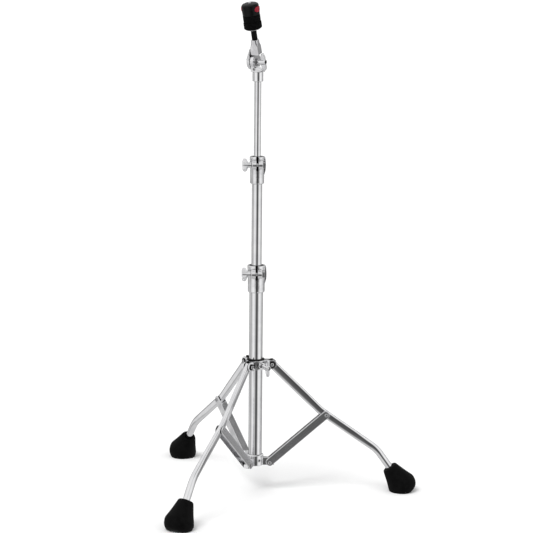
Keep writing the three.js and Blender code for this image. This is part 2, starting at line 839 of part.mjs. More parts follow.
function tilterBracket() {
  const flareFoot = -hingeHeightOnTube + bracketSleeveHeight;
  const sleeve = rod(bracketSleeveR, -hingeHeightOnTube, flareFoot, roundSides);
  const front = outline([
    [-bracketSleeveR, flareFoot - seatGap],
    [bracketSleeveR, flareFoot - seatGap],
    [bracketSleeveR, flareFoot + seatGap],
    [armNeckR, flareFoot * flareNeckShare],
    [-bracketDiscEdge, flareFoot * flareDiscShare],
    [-bracketDiscEdge, discR + overrun],
    [bracketFace, discR + overrun],
    [bracketFace, flareFoot * flareNeckShare],
    [-bracketSleeveR, flareFoot + seatGap],
  ]);
  const side = new THREE.Shape();
  side.moveTo(-bracketSleeveR, flareFoot - overrun);
  side.lineTo(bracketSleeveR, flareFoot - overrun);
  side.lineTo(bracketSleeveR, flareFoot);
  side.absarc(0, 0, discR, rad(bracketRimFrom), rad(bracketRimTo));
  side.lineTo(-bracketSleeveR, flareFoot);
  const flare = meet(slabXZ(front, 3 * discR), slabYZ(side, 3 * discR, smallSides));
  const boreEnd = bracketTubeDepth - hingeHeightOnTube + seatGap;
  const tubeBore = rod(topTubeR + seatGap, -hingeHeightOnTube - overrun, boreEnd);
  const boltHole = alongX(rod(tilterBoltR + seatGap, -discR * 2, discR * 2));
  const screwHole = alongY(rod(bracketScrewR + seatGap, topTubeR, discR * 2))
    .rotateX(Math.PI)
    .translate(-bracketScrewR, 0, -bracketScrewDrop);
  return cut(
    join(sleeve, flare),
    tubeBore,
    boltHole,
    screwHole,
    ...toothCutters(bracketFace, 1),
  );
}

function bracketScrew() {
  const outer = bracketSleeveR + seatGap * 2;
  return alongY(turned([
    [0, topTubeR + seatGap],
    [bracketScrewR, topTubeR + seatGap],
    [bracketScrewR, outer],
    [bracketScrewR / 2, outer],
    [bracketScrewR / 2, outer - bracketScrewR / 2],
    [0, outer - bracketScrewR / 2],
  ], smallSides)).rotateX(Math.PI).translate(-bracketScrewR, 0, -bracketScrewDrop);
}

function tilterArm() {
  const outer = armFace - discThickness;
  const flank = outline([
    [armFace, armLength * armFlankShare],
    [armFace, -discR - overrun],
    [outer, -discR - overrun],
    [outer, discR * discFlankShare],
  ]);
  const fan = new THREE.Shape();
  fan.moveTo(armNeckR, armLength);
  fan.lineTo(-armNeckR, armLength);
  fan.lineTo(-armShoulderR, armLength * armShoulderShare);
  fan.lineTo(-armShoulderR * armHipWidthShare, armLength * armHipShare);
  fan.absarc(0, 0, discR, rad(armRimFrom), rad(armRimTo));
  fan.lineTo(armShoulderR * armHipWidthShare, armLength * armHipShare);
  fan.lineTo(armShoulderR, armLength * armShoulderShare);
  const neckFront = outline([
    [armNeckR, armLength],
    [armShoulderR, discR],
    [armFace, discR],
    [-armNeckR * armHipWidthShare, armLength * armFlankShare],
    [-armNeckR, armLength * armTaperShare],
    [-armNeckR, armLength],
  ]);
  const neckSide = outline([
    [armNeckR, armLength],
    [-armNeckR, armLength],
    [-armShoulderR, discR],
    [armShoulderR, discR],
  ]);
  const body = join(
    meet(slabXZ(flank, 3 * discR), slabYZ(fan, 4 * discR, smallSides)),
    meet(slabXZ(neckFront, 3 * discR), slabYZ(neckSide, 4 * discR)),
  );
  const clear = alongX(rod(discR + armShoulderGap, armFace, armShoulderR + overrun, roundSides));
  const boltHole = alongX(rod(tilterBoltR + seatGap, outer - overrun, overrun));
  const rodHole = rod(rodR + seatGap, armLength - rodSeatDepth - seatGap, armLength + overrun);
  return cut(body, clear, boltHole, rodHole, ...toothCutters(armFace, -1));
}

function tilterBolt() {
  const seat = armFace - discThickness - seatGap;
  const nutSeat = -bracketDiscEdge + seatGap + tilterWasherThickness + seatGap;
  const head = block(
    [seat - tilterHeadHeight, -tilterHeadSide / 2, -tilterHeadSide / 2],
    [seat, tilterHeadSide / 2, tilterHeadSide / 2],
  );
  const shankEnd = nutSeat + wingBossLength - wingThickness;
  const shank = alongX(rod(tilterBoltR, seat - tilterHeadHeight / 2, shankEnd));
  return join(head, shank);
}

const tilterWasher = () => alongX(pipe(
  tilterWasherR,
  tilterBoltR + seatGap,
  -bracketDiscEdge + seatGap,
  -bracketDiscEdge + seatGap + tilterWasherThickness,
  smallSides,
));

const tilterWingNut = () => wing(tilterBoltR + seatGap, wingBossLength + overrun)
  .translate(-bracketDiscEdge + seatGap + tilterWasherThickness + seatGap, 0, 0);

// Head, standing on the hinge with the rod along Z
const cymbalRod = () => turned([
  [0, armLength - rodSeatDepth],
  [rodR, armLength - rodSeatDepth],
  [rodR, rodTop - rodTipHeight],
  [rodTipR, rodTop],
  [0, rodTop],
], smallSides);

const spigotTop = capFoot - seatGap;
const rodSleeve = () => turned([
  [rodR + seatGap, sleeveFoot],
  [sleeveR, sleeveFoot],
  [sleeveR, sleeveShoulder],
  [sleeveSpigotR, sleeveShoulder],
  [sleeveSpigotR, spigotTop],
  [rodR + seatGap, spigotTop],
], smallSides);

const seatWasher = () => pipe(
  seatWasherR,
  sleeveSpigotR + seatGap,
  sleeveShoulder + seatGap,
  sleeveShoulder + seatGap + seatWasherThickness,
);

function feltRing(radius, foot) {
  const top = foot + feltThickness;
  const inner = sleeveSpigotR + seatGap;
  return turned([
    [inner, foot],
    [radius - feltCrown, foot],
    [radius, foot + feltCrown],
    [radius, top - feltCrown],
    [radius - feltCrown, top],
    [inner, top],
  ]);
}

const buttonMid = capFoot + buttonMidHeight;

// The cap's dome: [out from the axis, up the dome]
const capDomeShares = [[0.96, 0.4], [0.82, 0.75], [0.5, 0.96]];

// A button's long round outline, wider round the cap than it is high, drawn for a slab along X
function buttonOutline(margin) {
  const radius = buttonHeight / 2 + margin;
  const straight = (buttonWidth - buttonHeight) / 2;
  const shape = new THREE.Shape();
  shape.absarc(0, straight, radius, 0, Math.PI);
  shape.absarc(0, -straight, radius, Math.PI, 2 * Math.PI);
  return shape;
}

function releaseCap() {
  const domeFoot = capTop - capDomeHeight;
  const inner = capR - capWall;
  const shell = turned([
    [inner, capFoot],
    [capR - capWall / 4, capFoot],
    [capR, capFoot + capWall / 4],
    [capR, domeFoot],
    ...capDomeShares.map(([out, up]) => [out * capR, domeFoot + up * capDomeHeight]),
    [rodR + seatGap, capTop],
    [rodR + seatGap, capTop - capWall],
    [inner, domeFoot],
  ]);
  const windows = alongX(slab(buttonOutline(seatGap), 2 * (capR + overrun), smallSides / 2))
    .translate(0, 0, buttonMid);
  return cut(shell, windows);
}

const releasePlate = () => pipe(
  capR - capWall - seatGap,
  sleeveSpigotR,
  capFoot,
  capFoot + releasePlateHeight,
);

// A push button with its slider plate, whose long hole lets the far rim leave the rod
function releaseButton(level) {
  const face = capR + buttonProud;
  const headFoot = face - buttonHeadDepth;
  const bar = alongX(slab(buttonOutline(0), buttonHeadDepth, smallSides / 2))
    .translate(face - buttonHeadDepth / 2, 0, buttonMid);
  const round = rod(face, capFoot, capTop, roundSides);
  const head = meet(bar, round);
  const rim = rodR + seatGap + sliderRim;
  const low = buttonMid + (level > 0 ? seatGap / 2 : -seatGap / 2 - sliderHeight);
  const plate = block(
    [-rim, -sliderWidth / 2, low],
    [headFoot + seatGap, sliderWidth / 2, low + sliderHeight],
  );
  const hole = block(
    [-rodR - seatGap, -rodR - seatGap, low - overrun],
    [rodR + seatGap + buttonTravel, rodR + seatGap, low + sliderHeight + overrun],
  );
  return cut(join(head, plate), hole);
}

// Assembly
const stand = new THREE.Group();

const root = new THREE.Group();
root.add(
  named('hub_casting', hubCasting(), castChrome),
  named('hub_bush', hubBush(), nylon),
);
const screw = named('hub_wing_screw', hubWingScrew(), castChrome);
screw.position.z = hubPivot.y;
screw.rotation.z = rad(screwAzimuth);
root.add(screw);
stand.add(root);

const legPieces = [
  ['leg', legTube(), chrome],
  ['leg_cap', legCap(), nylon],
  ['foot', foot(), rubber],
  ['leg_bush', legBush(), nylon],
  ['leg_rivet', legRivet(), steel],
  ['brace', brace(), chrome],
  ['brace_rivet', braceRivet(), steel],
  ['collar_rivet', collarRivet(), steel],
];
for (let i = 0; i < legCount; i += 1) {
  const side = new THREE.Group();
  side.rotation.z = (i * 2 * Math.PI) / legCount;
  legPieces.forEach(([name, geometry, material]) => {
    side.add(named(`${name}_${i + 1}`, geometry, material));
  });
  stand.add(side);
}

stand.add(
  named('lower_collar', lowerCollar(), castChrome),
  named('collar_screw', collarScrew(), steel),
  named('base_tube', pipe(baseTubeR, baseTubeR - baseTubeWall, collarFoot, baseTubeTop), chrome),
  named('middle_tube', pipe(
    middleTubeR,
    middleTubeR - middleTubeWall,
    middleTubeTop - middleTubeLength,
    middleTubeTop,
  ), chrome),
  named('top_tube', pipe(topTubeR, topTubeR - topTubeWall, topTubeTop - topTubeLength, topTubeTop), chrome),
);

const joints = [
  ['lower', lowerJointFoot, baseTubeR, middleTubeR, jointWallLower],
  ['upper', upperJointFoot, middleTubeR, topTubeR, jointWallUpper],
];
joints.forEach(([name, height, outerR, innerR, wall]) => {
  const group = new THREE.Group();
  group.position.z = height;
  group.add(
    named(`${name}_joint`, jointCasting(outerR, wall), castChrome),
    named(`${name}_bush`, jointBush(outerR, innerR), nylon),
    named(`${name}_bolt`, jointBolt(outerR, wall), steel),
    named(`${name}_wing_nut`, nutOnJoint(outerR, wall), castChrome),
  );
  stand.add(group);
});

const tilter = new THREE.Group();
tilter.position.z = hingeHeight;
tilter.rotation.z = rad(hingeAzimuth);
tilter.add(
  named('tilter_bracket', tilterBracket(), castChrome),
  named('bracket_screw', bracketScrew(), steel),
);
const head = new THREE.Group();
head.rotation.x = rad(tiltAngle);
head.add(
  named('tilter_arm', tilterArm(), castChrome),
  named('tilter_bolt', tilterBolt(), steel),
  named('tilter_washer', tilterWasher(), steel),
  named('tilter_wing_nut', tilterWingNut(), castChrome),
  named('cymbal_rod', cymbalRod(), steel),
  named('rod_sleeve', rodSleeve(), nylon),
  named('seat_washer', seatWasher(), steel),
  named('lower_felt', feltRing(feltLowerR, feltFoot), felt),
  named('upper_felt', feltRing(feltUpperR, upperFeltFoot), felt),
  named('release_cap', releaseCap(), blackPlastic),
  named('release_plate', releasePlate(), blackPlastic),
  named('release_button_1', releaseButton(1), redPlastic),
  named('release_button_2', releaseButton(-1).rotateZ(Math.PI), redPlastic),
);
tilter.add(head);
stand.add(tilter);

// The stand is centred over the origin by its three feet
stand.updateMatrixWorld(true);
const footprint = new THREE.Box3().setFromObject(stand, true);
stand.position.x = -(footprint.min.x + footprint.max.x) / 2;

const group = new THREE.Group();
group.add(stand);

export default group;
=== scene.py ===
"""The looks of a straight cymbal stand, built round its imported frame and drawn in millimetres."""

import json
import math

import bmesh
import bpy
from mathutils import Euler, Matrix, Vector, noise


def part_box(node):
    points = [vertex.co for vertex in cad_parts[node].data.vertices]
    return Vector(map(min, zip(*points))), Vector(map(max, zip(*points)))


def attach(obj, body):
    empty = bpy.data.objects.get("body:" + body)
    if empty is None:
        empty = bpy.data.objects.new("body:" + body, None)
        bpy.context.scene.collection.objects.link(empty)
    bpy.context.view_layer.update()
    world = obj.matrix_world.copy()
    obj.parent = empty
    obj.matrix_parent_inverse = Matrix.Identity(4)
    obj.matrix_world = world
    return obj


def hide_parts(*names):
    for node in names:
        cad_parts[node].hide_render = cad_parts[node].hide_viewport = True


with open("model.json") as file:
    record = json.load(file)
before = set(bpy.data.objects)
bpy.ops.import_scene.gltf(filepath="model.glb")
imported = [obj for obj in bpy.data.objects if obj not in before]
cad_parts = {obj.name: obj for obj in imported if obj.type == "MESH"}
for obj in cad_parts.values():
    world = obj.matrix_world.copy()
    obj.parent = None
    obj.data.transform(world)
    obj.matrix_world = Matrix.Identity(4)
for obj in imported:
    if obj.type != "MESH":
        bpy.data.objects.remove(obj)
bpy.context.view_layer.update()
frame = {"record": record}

# A millimetre in metres, and the shortest length that counts
MM = 0.001
TINY = 1e-4

# Sides of turned pieces
FINE_ROUND = 180
ROUND = 96
SMALL_ROUND = 48
SCREW_ROUND = 36

# Edge radii, how far a cutter runs past the metal, and the gap that a seat leaves
EDGE = 0.5
FINE_EDGE = 0.25
OVERRUN = 6.0
GAP = 0.3

BODIES = frame["record"]["behaviour"]["bodies"]
BODY = {node: body for body, nodes in BODIES.items() for node in nodes}


def corner(node, which):
    """Lowest (0) or highest (1) corner of a node's box, in millimetres."""
    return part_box(node)[which] / MM


def centre(node):
    return (corner(node, 0) + corner(node, 1)) / 2


# Places read from the frame
MAST_X = centre("base_tube").x
HUB_PIVOT = centre("leg_rivet_1") - Vector((MAST_X, 0, 0))
BRACE_PIVOT = centre("brace_rivet_1") - Vector((MAST_X, 0, 0))
COLLAR_PIVOT = centre("collar_rivet_1") - Vector((MAST_X, 0, 0))
HUB_BUSH_FOOT = corner("hub_bush", 0).z
HUB_FOOT = corner("hub_casting", 0).z
HUB_TOP = corner("hub_casting", 1).z
COLLAR_FOOT = corner("lower_collar", 0).z
COLLAR_TOP = corner("lower_collar", 1).z
BRACKET_FOOT = corner("tilter_bracket", 0).z

# Sizes of the tubes
BASE_R = 12.7
MIDDLE_R = 9.55
TOP_R = 6.35
BASE_WALL = 1.5
MIDDLE_WALL = 1.4
TOP_WALL = 1.3

# Leg linkage; a size of the leg's section is its depth and its width
LOWER_LEG = 117.0
LOWER_SLOPE = 34.8
ANKLE_LENGTH = 42.8
ANKLE_SLOPE = 54.5
KNEE_LEAD = 11.8
KNEE_CORNER = 9.0
ANKLE_CORNER = 13.0
LEG_PRESSED = (15.5, 8.5)
LEG_KNEE = (14.2, 8.8)
LEG_ROUND = 13.2
LEG_WALL = 1.5
LEG_IN_FOOT = 28.0
LEG_SIDES = 56
LEG_SQUARENESS = 3.4
PRESSED_SHARE = 0.72
SQUARE_SHARE = 0.55
CAP_PROUD = 2.2
CAP_SHOULDER = 0.4
CAP_LEAN = 11.0

# How much of the leg's section is as pressed flat, as at the knee and as the round tube
AS_PRESSED = (1, 0, 0)
BEFORE_KNEE = (0.1, 0.9, 0)
AT_KNEE = (0, 1, 0)
BELOW_KNEE = (0, 0.9, 0.1)
BEFORE_ANKLE = (0, 0.45, 0.55)
AS_ROUND = (0, 0, 1)

# Rubber foot: radius and distance down its own sloping axis
FOOT_R = 27.15
FOOT_OUTLINE = [
    (13.1, 0.0), (14.3, 1.2), (20.725, 21.7), (26.55, 37.4), (FOOT_R, 41.0), (25.95, 49.4),
    (22.075, 56.2), (17.0, 59.8), (0.0, 61.0),
]
FOOT_CUT = 120.0

# Hub
HUB_RIM_R = 17.8
HUB_RIM = 2.8
HUB_WAIST_R = 16.4
HUB_SLIDE_GAP = 0.5
HUB_BUSH_WALL = 1.9
HUB_FLANGE_R = 16.4
HUB_FLANGE = 1.6
SLIT_WIDTH = 2.2
SLIT_DEPTH = 0.7
SLIT_SPREAD = 29.0
CHEEK = 2.8
CHEEK_END_R = 8.2
SLOT_FLOOR_R = 21.6
SCREW_BOSS_R = 6.4
SCREW_BOSS_REACH = 24.0
SCREW_STAND_OFF = 6.0
SCREW_AZIMUTH = -60.0

# Rivets and their bushes; the rolled rim is radius and height over its seat
RIVET_R = 2.4
RIVET_BORE = 1.1
RIVET_BORE_DEPTH = 2.0
RIVET_RIM = [(RIVET_BORE, 0.6), (1.8, 1.0), (2.5, 0.85), (3.4, 0.35), (3.2, 0.0)]
LEG_BUSH_WALL = 1.8
LEG_BUSH_FLANGE_R = 5.6
LEG_BUSH_FLANGE = 0.9

# Channel brace
BRACE_SHEET = 1.8
BRACE_INNER = 11.4
BRACE_WEB = 8.6
BRACE_EDGE = 6.4
BRACE_CUTBACK = 13.5

# Lower collar
COLLAR_R = 15.5
LUG_WIDTH = 10.4
LUG_REACH = 8.0
LUG_TOP_INNER = 10.5
LUG_TOP_OUTER = 8.6
LUG_CORNER = 3.4
LUG_PLAY = 0.8
COLLAR_SCREW_R = 2.6
SOCKET_DEPTH = 1.6

# Height joints; the rib is shares of its reach out and of its height down
JOINT_HEIGHT = 50.4
JOINT_GRIP = 22.0
JOINT_WALL = {"lower": 3.05, "upper": 3.4}
BAND_HEIGHT = 8.0
BAND_PROUD = 0.8
RECESS = 0.9
RECESS_HEIGHT = 1.3
CHAMFER = 1.6
SLOT_WIDTH = 1.8
CLAMP_GAP = 4.0
EAR_WIDTH = 8.3
EAR_R = 7.8
BOLT_DROP = 13.6
BOLT_CLEAR = 4.2
BOLT_R = 3.0
HEAD_SIDE = 10.4
HEAD_HEIGHT = 4.4
RIB_PROUD = 3.2
RIB_WIDTH = 12.0
RIB_HEIGHT = 33.0
RIB_OUTLINE = [(0, 1), (0.8, 0.72), (1, 0.45), (0.8, 0.12), (0.5, 0)]
THREAD_PITCH = 1.0
THREAD_DEPTH = 0.35
THREAD_IN = 1.5
THREAD_LAP = 0.5

# Wing nuts; an ear's outline is shares of the boss's length and of half the span
BOSS_R = 4.9
BOSS_LENGTH = 17.0
WING_SPAN = 33.4
WING_THICKNESS = 4.4
WING_EAR = [
    (0.36, 0.0), (0.36, 0.28), (0.42, 0.5), (0.5, 0.76), (0.58, 0.92), (0.68, 0.99),
    (0.78, 1.0), (0.89, 0.93), (0.97, 0.78), (1.0, 0.56), (0.99, 0.28), (0.98, 0.0),
]
DIMPLE_R = 3.3
JOINT_WING_TURN = 55.0

# Tilter
HINGE_ON_TUBE = 35.5
HINGE_AZIMUTH = -32.0
TILT = 16.3
DISC_R = 14.5
DISC = 6.8
DISC_EDGE = 2.5
TEETH = 20
TOOTH = 0.9
TOOTH_LAND = 0.05
TOOTH_RING = 3.4
TOOTH_REACH = 0.72
RELIEF_R = 17.4
RELIEF = 0.5
BRACKET_R = 9.85
BRACKET_HEIGHT = 17.5
BRACKET_DEPTH = 17.0
BRACKET_SHOULDER = 0.82
BRACKET_CHEST = 0.5
BRACKET_SPREAD = 38.0
BRACKET_SCREW_R = 2.3
BRACKET_SCREW_DROP = 13.4
BRACKET_SOCKET = [(0.55, 0.0), (0.5, -1.4), (0.0, -1.5)]
ARM_LENGTH = 42.7
ARM_SPREAD = 20.0
ARM_HIP = ARM_LENGTH * 0.42
ARM_FLANK = ARM_LENGTH * 0.62
ARM_CHEST = ARM_LENGTH * 0.7
ARM_COLLAR = ARM_LENGTH * 0.84
ARM_BARREL = [(12.6, DISC_R), (10.725, ARM_FLANK), (7.54, ARM_COLLAR), (7.41, ARM_LENGTH)]
NECK_R = 6.5
SHOULDER_R = 7.2
HIP_R = 10.8
FLANK_R = 9.75
SHOULDER_GAP = 0.8
FACE_GAP = 0.05
FACE_TOP = DISC_R * 0.93
TILTER_HEAD = 11.0
TILTER_HEAD_HEIGHT = 3.2
TILTER_WASHER_R = 6.5
TILTER_WASHER = 1.2

# Head, heights up the rod from the hinge; the dome is shares of the cap's radius and dome
ROD_R = 3.0
ROD_TIP_R = 2.3
ROD_TIP = 1.6
ROD_SEAT = 20.0
ROD_PROUD = 2.0
SLEEVE_R = 5.25
SLEEVE_SHOULDER = 19.2
SPIGOT_R = 4.4
SEAT_WASHER_R = 12.5
SEAT_WASHER = 1.4
FELT_LOWER_R = 16.5
FELT_UPPER_R = 15.9
FELT = 12.8
FELT_CROWN = 1.2
FELT_ROWS = 26
FELT_RINGS = 10
TUFT = 0.28
TUFT_EASE = 2.0
TUFT_RIM = 0.6
CAP_R = 15.75
CAP_HEIGHT = 21.0
CAP_WALL = 2.0
CAP_DOME = 4.4
CAP_DOME_OUTLINE = [(1.0, 0.0), (0.96, 0.4), (0.82, 0.75), (0.5, 0.96)]
PLATE = 3.0
BUTTON_HEIGHT = 9.8
BUTTON_WIDTH = 15.6
BUTTON_PROUD = 1.1
BUTTON_TRAVEL = 1.6
BUTTON_MID = 10.6
BUTTON_HEAD = 4.4
SLIDER_HEIGHT = 3.2
SLIDER_WIDTH = 8.8
SLIDER_RIM = 2.2

# The photograph's camera
CAMERA_PLACE = (-0.1559, -3.635, 1.085)
CAMERA_YAW = -1.66
CAMERA_PITCH = -10.21
CAMERA_ROLL = 0.493
CAMERA_LENS = 134.8
SENSOR = 36.0

# Studio: what metal sees at eye level, as degrees from the camera's side, positive to its right,
# and brightness; then the softbox overhead, the gap in it and the ground
STUDIO_BANDS = [
    (-180, 0.05), (-163, 0.10), (-150, 0.38), (-138, 0.30), (-130, 0.44), (-123, 0.74),
    (-115, 0.74), (-107, 0.38), (-98, 0.34), (-88, 0.46), (-76, 0.62), (-60, 0.82), (-43, 0.94),
    (-26, 0.80), (-15, 0.50), (-6, 0.24), (3, 0.09), (14, 0.06), (23, 0.12), (32, 0.50),
    (42, 0.80), (58, 0.96), (78, 0.80), (98, 0.64), (112, 0.36), (124, 0.26), (138, 0.62),
    (150, 0.56), (164, 0.12), (180, 0.05),
]
OVERHEAD_LIGHT = 0.92
OVERHEAD_GAP = 0.06
OVERHEAD_SHARE = 0.8
GROUND_LIGHT = 0.62
FLOOR_HALF = 40.0


def turn(axis, degrees):
    return Matrix.Rotation(math.radians(degrees), 4, axis)


def move(x=0.0, y=0.0, z=0.0):
    return Matrix.Translation((x, y, z))


# Turns things drawn along Z, or in XY, to lie along X or Y, or in XZ or YZ
ALONG_X = turn("Y", 90)
ALONG_Y = turn("X", -90)
IN_XZ = turn("X", 90)
IN_YZ = turn("Z", 90) @ turn("X", 90)

MAST = move(MAST_X)
THIRDS = [turn("Z", 120 * number) for number in range(3)]
LEGS = {number + 1: MAST @ side for number, side in enumerate(THIRDS)}
AT_HUB_PIVOT, AT_BRACE_PIVOT, AT_COLLAR_PIVOT = (
    move(pivot.x, 0, pivot.z) for pivot in (HUB_PIVOT, BRACE_PIVOT, COLLAR_PIVOT)
)
HUB_SCREW_WAY = turn("Z", SCREW_AZIMUTH) @ move(z=HUB_PIVOT.z)
COLLAR_SCREW_WAY = turn("Z", SCREW_AZIMUTH) @ move(z=(COLLAR_FOOT + COLLAR_TOP) / 2)
TILTER = MAST @ move(z=BRACKET_FOOT + HINGE_ON_TUBE) @ turn("Z", HINGE_AZIMUTH)
HEAD = TILTER @ turn("X", TILT)


# Outlines

# An outline keeps a corner whose edges run on straighter than this, and a rounded corner takes
# no more than this share of either edge
STRAIGHT_ON = -0.97
CORNER_SHARE = 0.45


def arc(x, y, radius, start, end, steps=24, squash=1.0):
    """Points on an arc, with its angles in degrees; squash scales it in y."""
    angles = [math.radians(start + (end - start) * k / steps) for k in range(steps + 1)]
    return [(x + radius * math.cos(a), y + radius * squash * math.sin(a)) for a in angles]


def rounded(points, radius, closed=True, steps=3):
    """The outline with each of its corners turned into a short curve."""
    out = []
    count = len(points)
    for i, point in enumerate(points):
        if not closed and i in (0, count - 1):
            out.append(tuple(point))
            continue
        at = Vector(point)
        before = Vector(points[i - 1]) - at
        after = Vector(points[(i + 1) % count]) - at
        if before.length < TINY or after.length < TINY:
            continue
        if before.normalized().dot(after.normalized()) < STRAIGHT_ON:
            out.append(tuple(point))
            continue
        into = at + before.normalized() * min(radius, before.length * CORNER_SHARE)
        away = at + after.normalized() * min(radius, after.length * CORNER_SHARE)
        for k in range(steps + 1):
            t = k / steps
            out.append(tuple(into * (1 - t) ** 2 + at * 2 * t * (1 - t) + away * t ** 2))
    return out


# Solids

# Slivers under this share of an eased edge are merged first, and an edge that tears the surface
# is tried again at the next share of its width
SLIVER = 1 / 12
EASE_SHARES = (1.0, 0.6, 0.3)


def solid(shape):
    """A mesh object from a bmesh, which it uses up."""
    bmesh.ops.recalc_face_normals(shape, faces=shape.faces)
    if shape.calc_volume(signed=True) < 0:
        bmesh.ops.reverse_faces(shape, faces=shape.faces)
    mesh = bpy.data.meshes.new("solid")
    shape.to_mesh(mesh)
    shape.free()
    thing = bpy.data.objects.new("solid", mesh)
    bpy.context.scene.collection.objects.link(thing)
    return thing


def skin(rings, closed=False):
    """A surface through rings of points, where a ring of one point is a pole.

    A closed one joins the last ring to the first.
    """
    shape = bmesh.new()
    made = [[shape.verts.new(point) for point in ring] for ring in rings]
    pairs = list(zip(made, made[1:] + made[:1])) if closed else list(zip(made, made[1:]))
    for low, high in pairs:
        around = max(len(low), len(high))
        for k in range(around):
            n = (k + 1) % around
            steps = ((low, k), (low, n), (high, n), (high, k))
            face = list(dict.fromkeys(ring[i % len(ring)] for ring, i in steps))
            if len(face) > 2:
                shape.faces.new(face)
    return solid(shape)


def turned(profile, soft=EDGE, sides=ROUND):
    """A profile of (radius, height) points turned about Z."""
    open_ended = profile[0][0] < TINY
    points = rounded(profile, soft, closed=not open_ended) if soft > 0 else profile
    rings = []
    for radius, height in points:
        around = 1 if radius < TINY else sides
        steps = [2 * math.pi * k / sides for k in range(around)]
        rings.append([(radius * math.cos(a), radius * math.sin(a), height) for a in steps])
    return skin(rings, closed=not open_ended)


def pipe(outer, inner, foot, top, soft=EDGE, sides=ROUND):
    return turned([(inner, foot), (outer, foot), (outer, top), (inner, top)], soft, sides)


def rod(radius, foot, top, soft=FINE_EDGE, sides=SMALL_ROUND):
    return turned([(0, foot), (radius, foot), (radius, top), (0, top)], soft, sides)


def drill(radius, foot, top, place=Matrix(), play=GAP, sides=SMALL_ROUND):
    """The cutter of a hole for a round thing of this radius, with the play that it has there."""
    return put(rod(radius + play, foot, top, soft=0, sides=sides), place)


def slab(points, thickness, soft=EDGE):
    """A plate with this outline in XY, centred on z = 0, its rims rounded."""
    shape = bmesh.new()
    half = thickness / 2
    low = [shape.verts.new((x, y, -half)) for x, y in points]
    high = [shape.verts.new((x, y, half)) for x, y in points]
    rims = [shape.faces.new(low), shape.faces.new(high)]
    for i, corner_low in enumerate(low):
        n = (i + 1) % len(low)
        shape.faces.new((corner_low, low[n], high[n], high[i]))
    bmesh.ops.recalc_face_normals(shape, faces=shape.faces)
    if soft > 0:
        edges = list({edge for face in rims for edge in face.edges})
        bmesh.ops.bevel(
            shape, geom=edges, offset=soft, offset_type="OFFSET", segments=3, profile=0.5,
            affect="EDGES", clamp_overlap=True,
        )
    return solid(shape)


def put(thing, place):
    thing.data.transform(place)
    return thing


def block(low, high, soft=0.0):
    middle = [(a + b) / 2 for a, b in zip(low, high)]
    half_x, half_y = (high[0] - low[0]) / 2, (high[1] - low[1]) / 2
    outline = [(-half_x, -half_y), (half_x, -half_y), (half_x, half_y), (-half_x, half_y)]
    if soft > 0:
        outline = rounded(outline, soft)
    return put(slab(outline, high[2] - low[2], soft), move(*middle))


def crossed(front, side, side_width=4 * DISC_R):
    """What two outlines have in common: one seen from the front, in XZ, and one from the side."""
    front_slab = put(slab(front, 3 * DISC_R, soft=0), IN_XZ)
    return meet(front_slab, put(slab(side, side_width, soft=0), IN_YZ))


def drop(thing):
    mesh = thing.data
    bpy.data.objects.remove(thing)
    bpy.data.meshes.remove(mesh)


def settled(thing, tools=()):
    """Makes the modifiers of a thing into its mesh, and removes the tools that they used."""
    graph = bpy.context.evaluated_depsgraph_get()
    mesh = bpy.data.meshes.new_from_object(thing.evaluated_get(graph))
    old = thing.data
    thing.modifiers.clear()
    thing.data = mesh
    bpy.data.meshes.remove(old)
    for tool in tools:
        drop(tool)
    return thing


def combined(operation, thing, tools):
    for tool in tools:
        step = thing.modifiers.new(operation, "BOOLEAN")
        step.operation = operation
        step.solver = "MANIFOLD"
        step.object = tool
    return settled(thing, tools)


def cut(thing, *tools):
    return combined("DIFFERENCE", thing, tools)


def join(thing, *others):
    return combined("UNION", thing, others)


def meet(thing, other):
    return combined("INTERSECT", thing, [other])


def is_closed(mesh):
    shape = bmesh.new()
    shape.from_mesh(mesh)
    closed = all(edge.is_manifold for edge in shape.edges)
    shape.free()
    return closed


def merged(mesh, distance):
    """The mesh without the slivers that cuts leave, unless taking them out would open it."""
    twin = mesh.copy()
    shape = bmesh.new()
    shape.from_mesh(twin)
    bmesh.ops.remove_doubles(shape, verts=shape.verts, dist=distance)
    bmesh.ops.dissolve_degenerate(shape, edges=shape.edges, dist=distance)
    shape.to_mesh(twin)
    shape.free()
    return twin if is_closed(twin) else mesh


def eased(thing, width, angle=30.0, segments=2):
    """Rounds the edges that cuts and joins leave sharp, by less where that tears the surface."""
    thing.data = merged(thing.data, width * SLIVER)
    for share in EASE_SHARES:
        plain = thing.data.copy()
        bevel = thing.modifiers.new("ease", "BEVEL")
        bevel.width = width * share
        bevel.segments = segments
        bevel.limit_method = "ANGLE"
        bevel.angle_limit = math.radians(angle)
        bevel.use_clamp_overlap = False
        bevel.miter_outer = "MITER_ARC"
        settled(thing)
        if is_closed(thing.data):
            break
        thing.data = plain
    return thing


def copied(thing):
    twin = bpy.data.objects.new(thing.name, thing.data.copy())
    bpy.context.scene.collection.objects.link(twin)
    return twin


# Material nodes

FINISH_END = "_finish"
EVEN = (1.0, 1.0, 1.0)
BLUISH = 1.01
BLUER = 1.02


class Wire:
    """A socket of a material, with sums that add their Math nodes."""

    def __init__(self, finish, socket):
        self.finish = finish
        self.socket = socket

    def math(self, operation, *values):
        return self.finish.node("ShaderNodeMath", {"operation": operation}, values)

    def beside(self, output):
        """Another output of the same node."""
        return Wire(self.finish, self.socket.node.outputs[output])

    def __add__(self, other):
        return self.math("ADD", self, other)

    def __mul__(self, other):
        return self.math("MULTIPLY", self, other)

    def __sub__(self, other):
        return self.math("SUBTRACT", self, other)

    def __rsub__(self, other):
        return self.math("SUBTRACT", other, self)

    __radd__ = __add__
    __rmul__ = __mul__


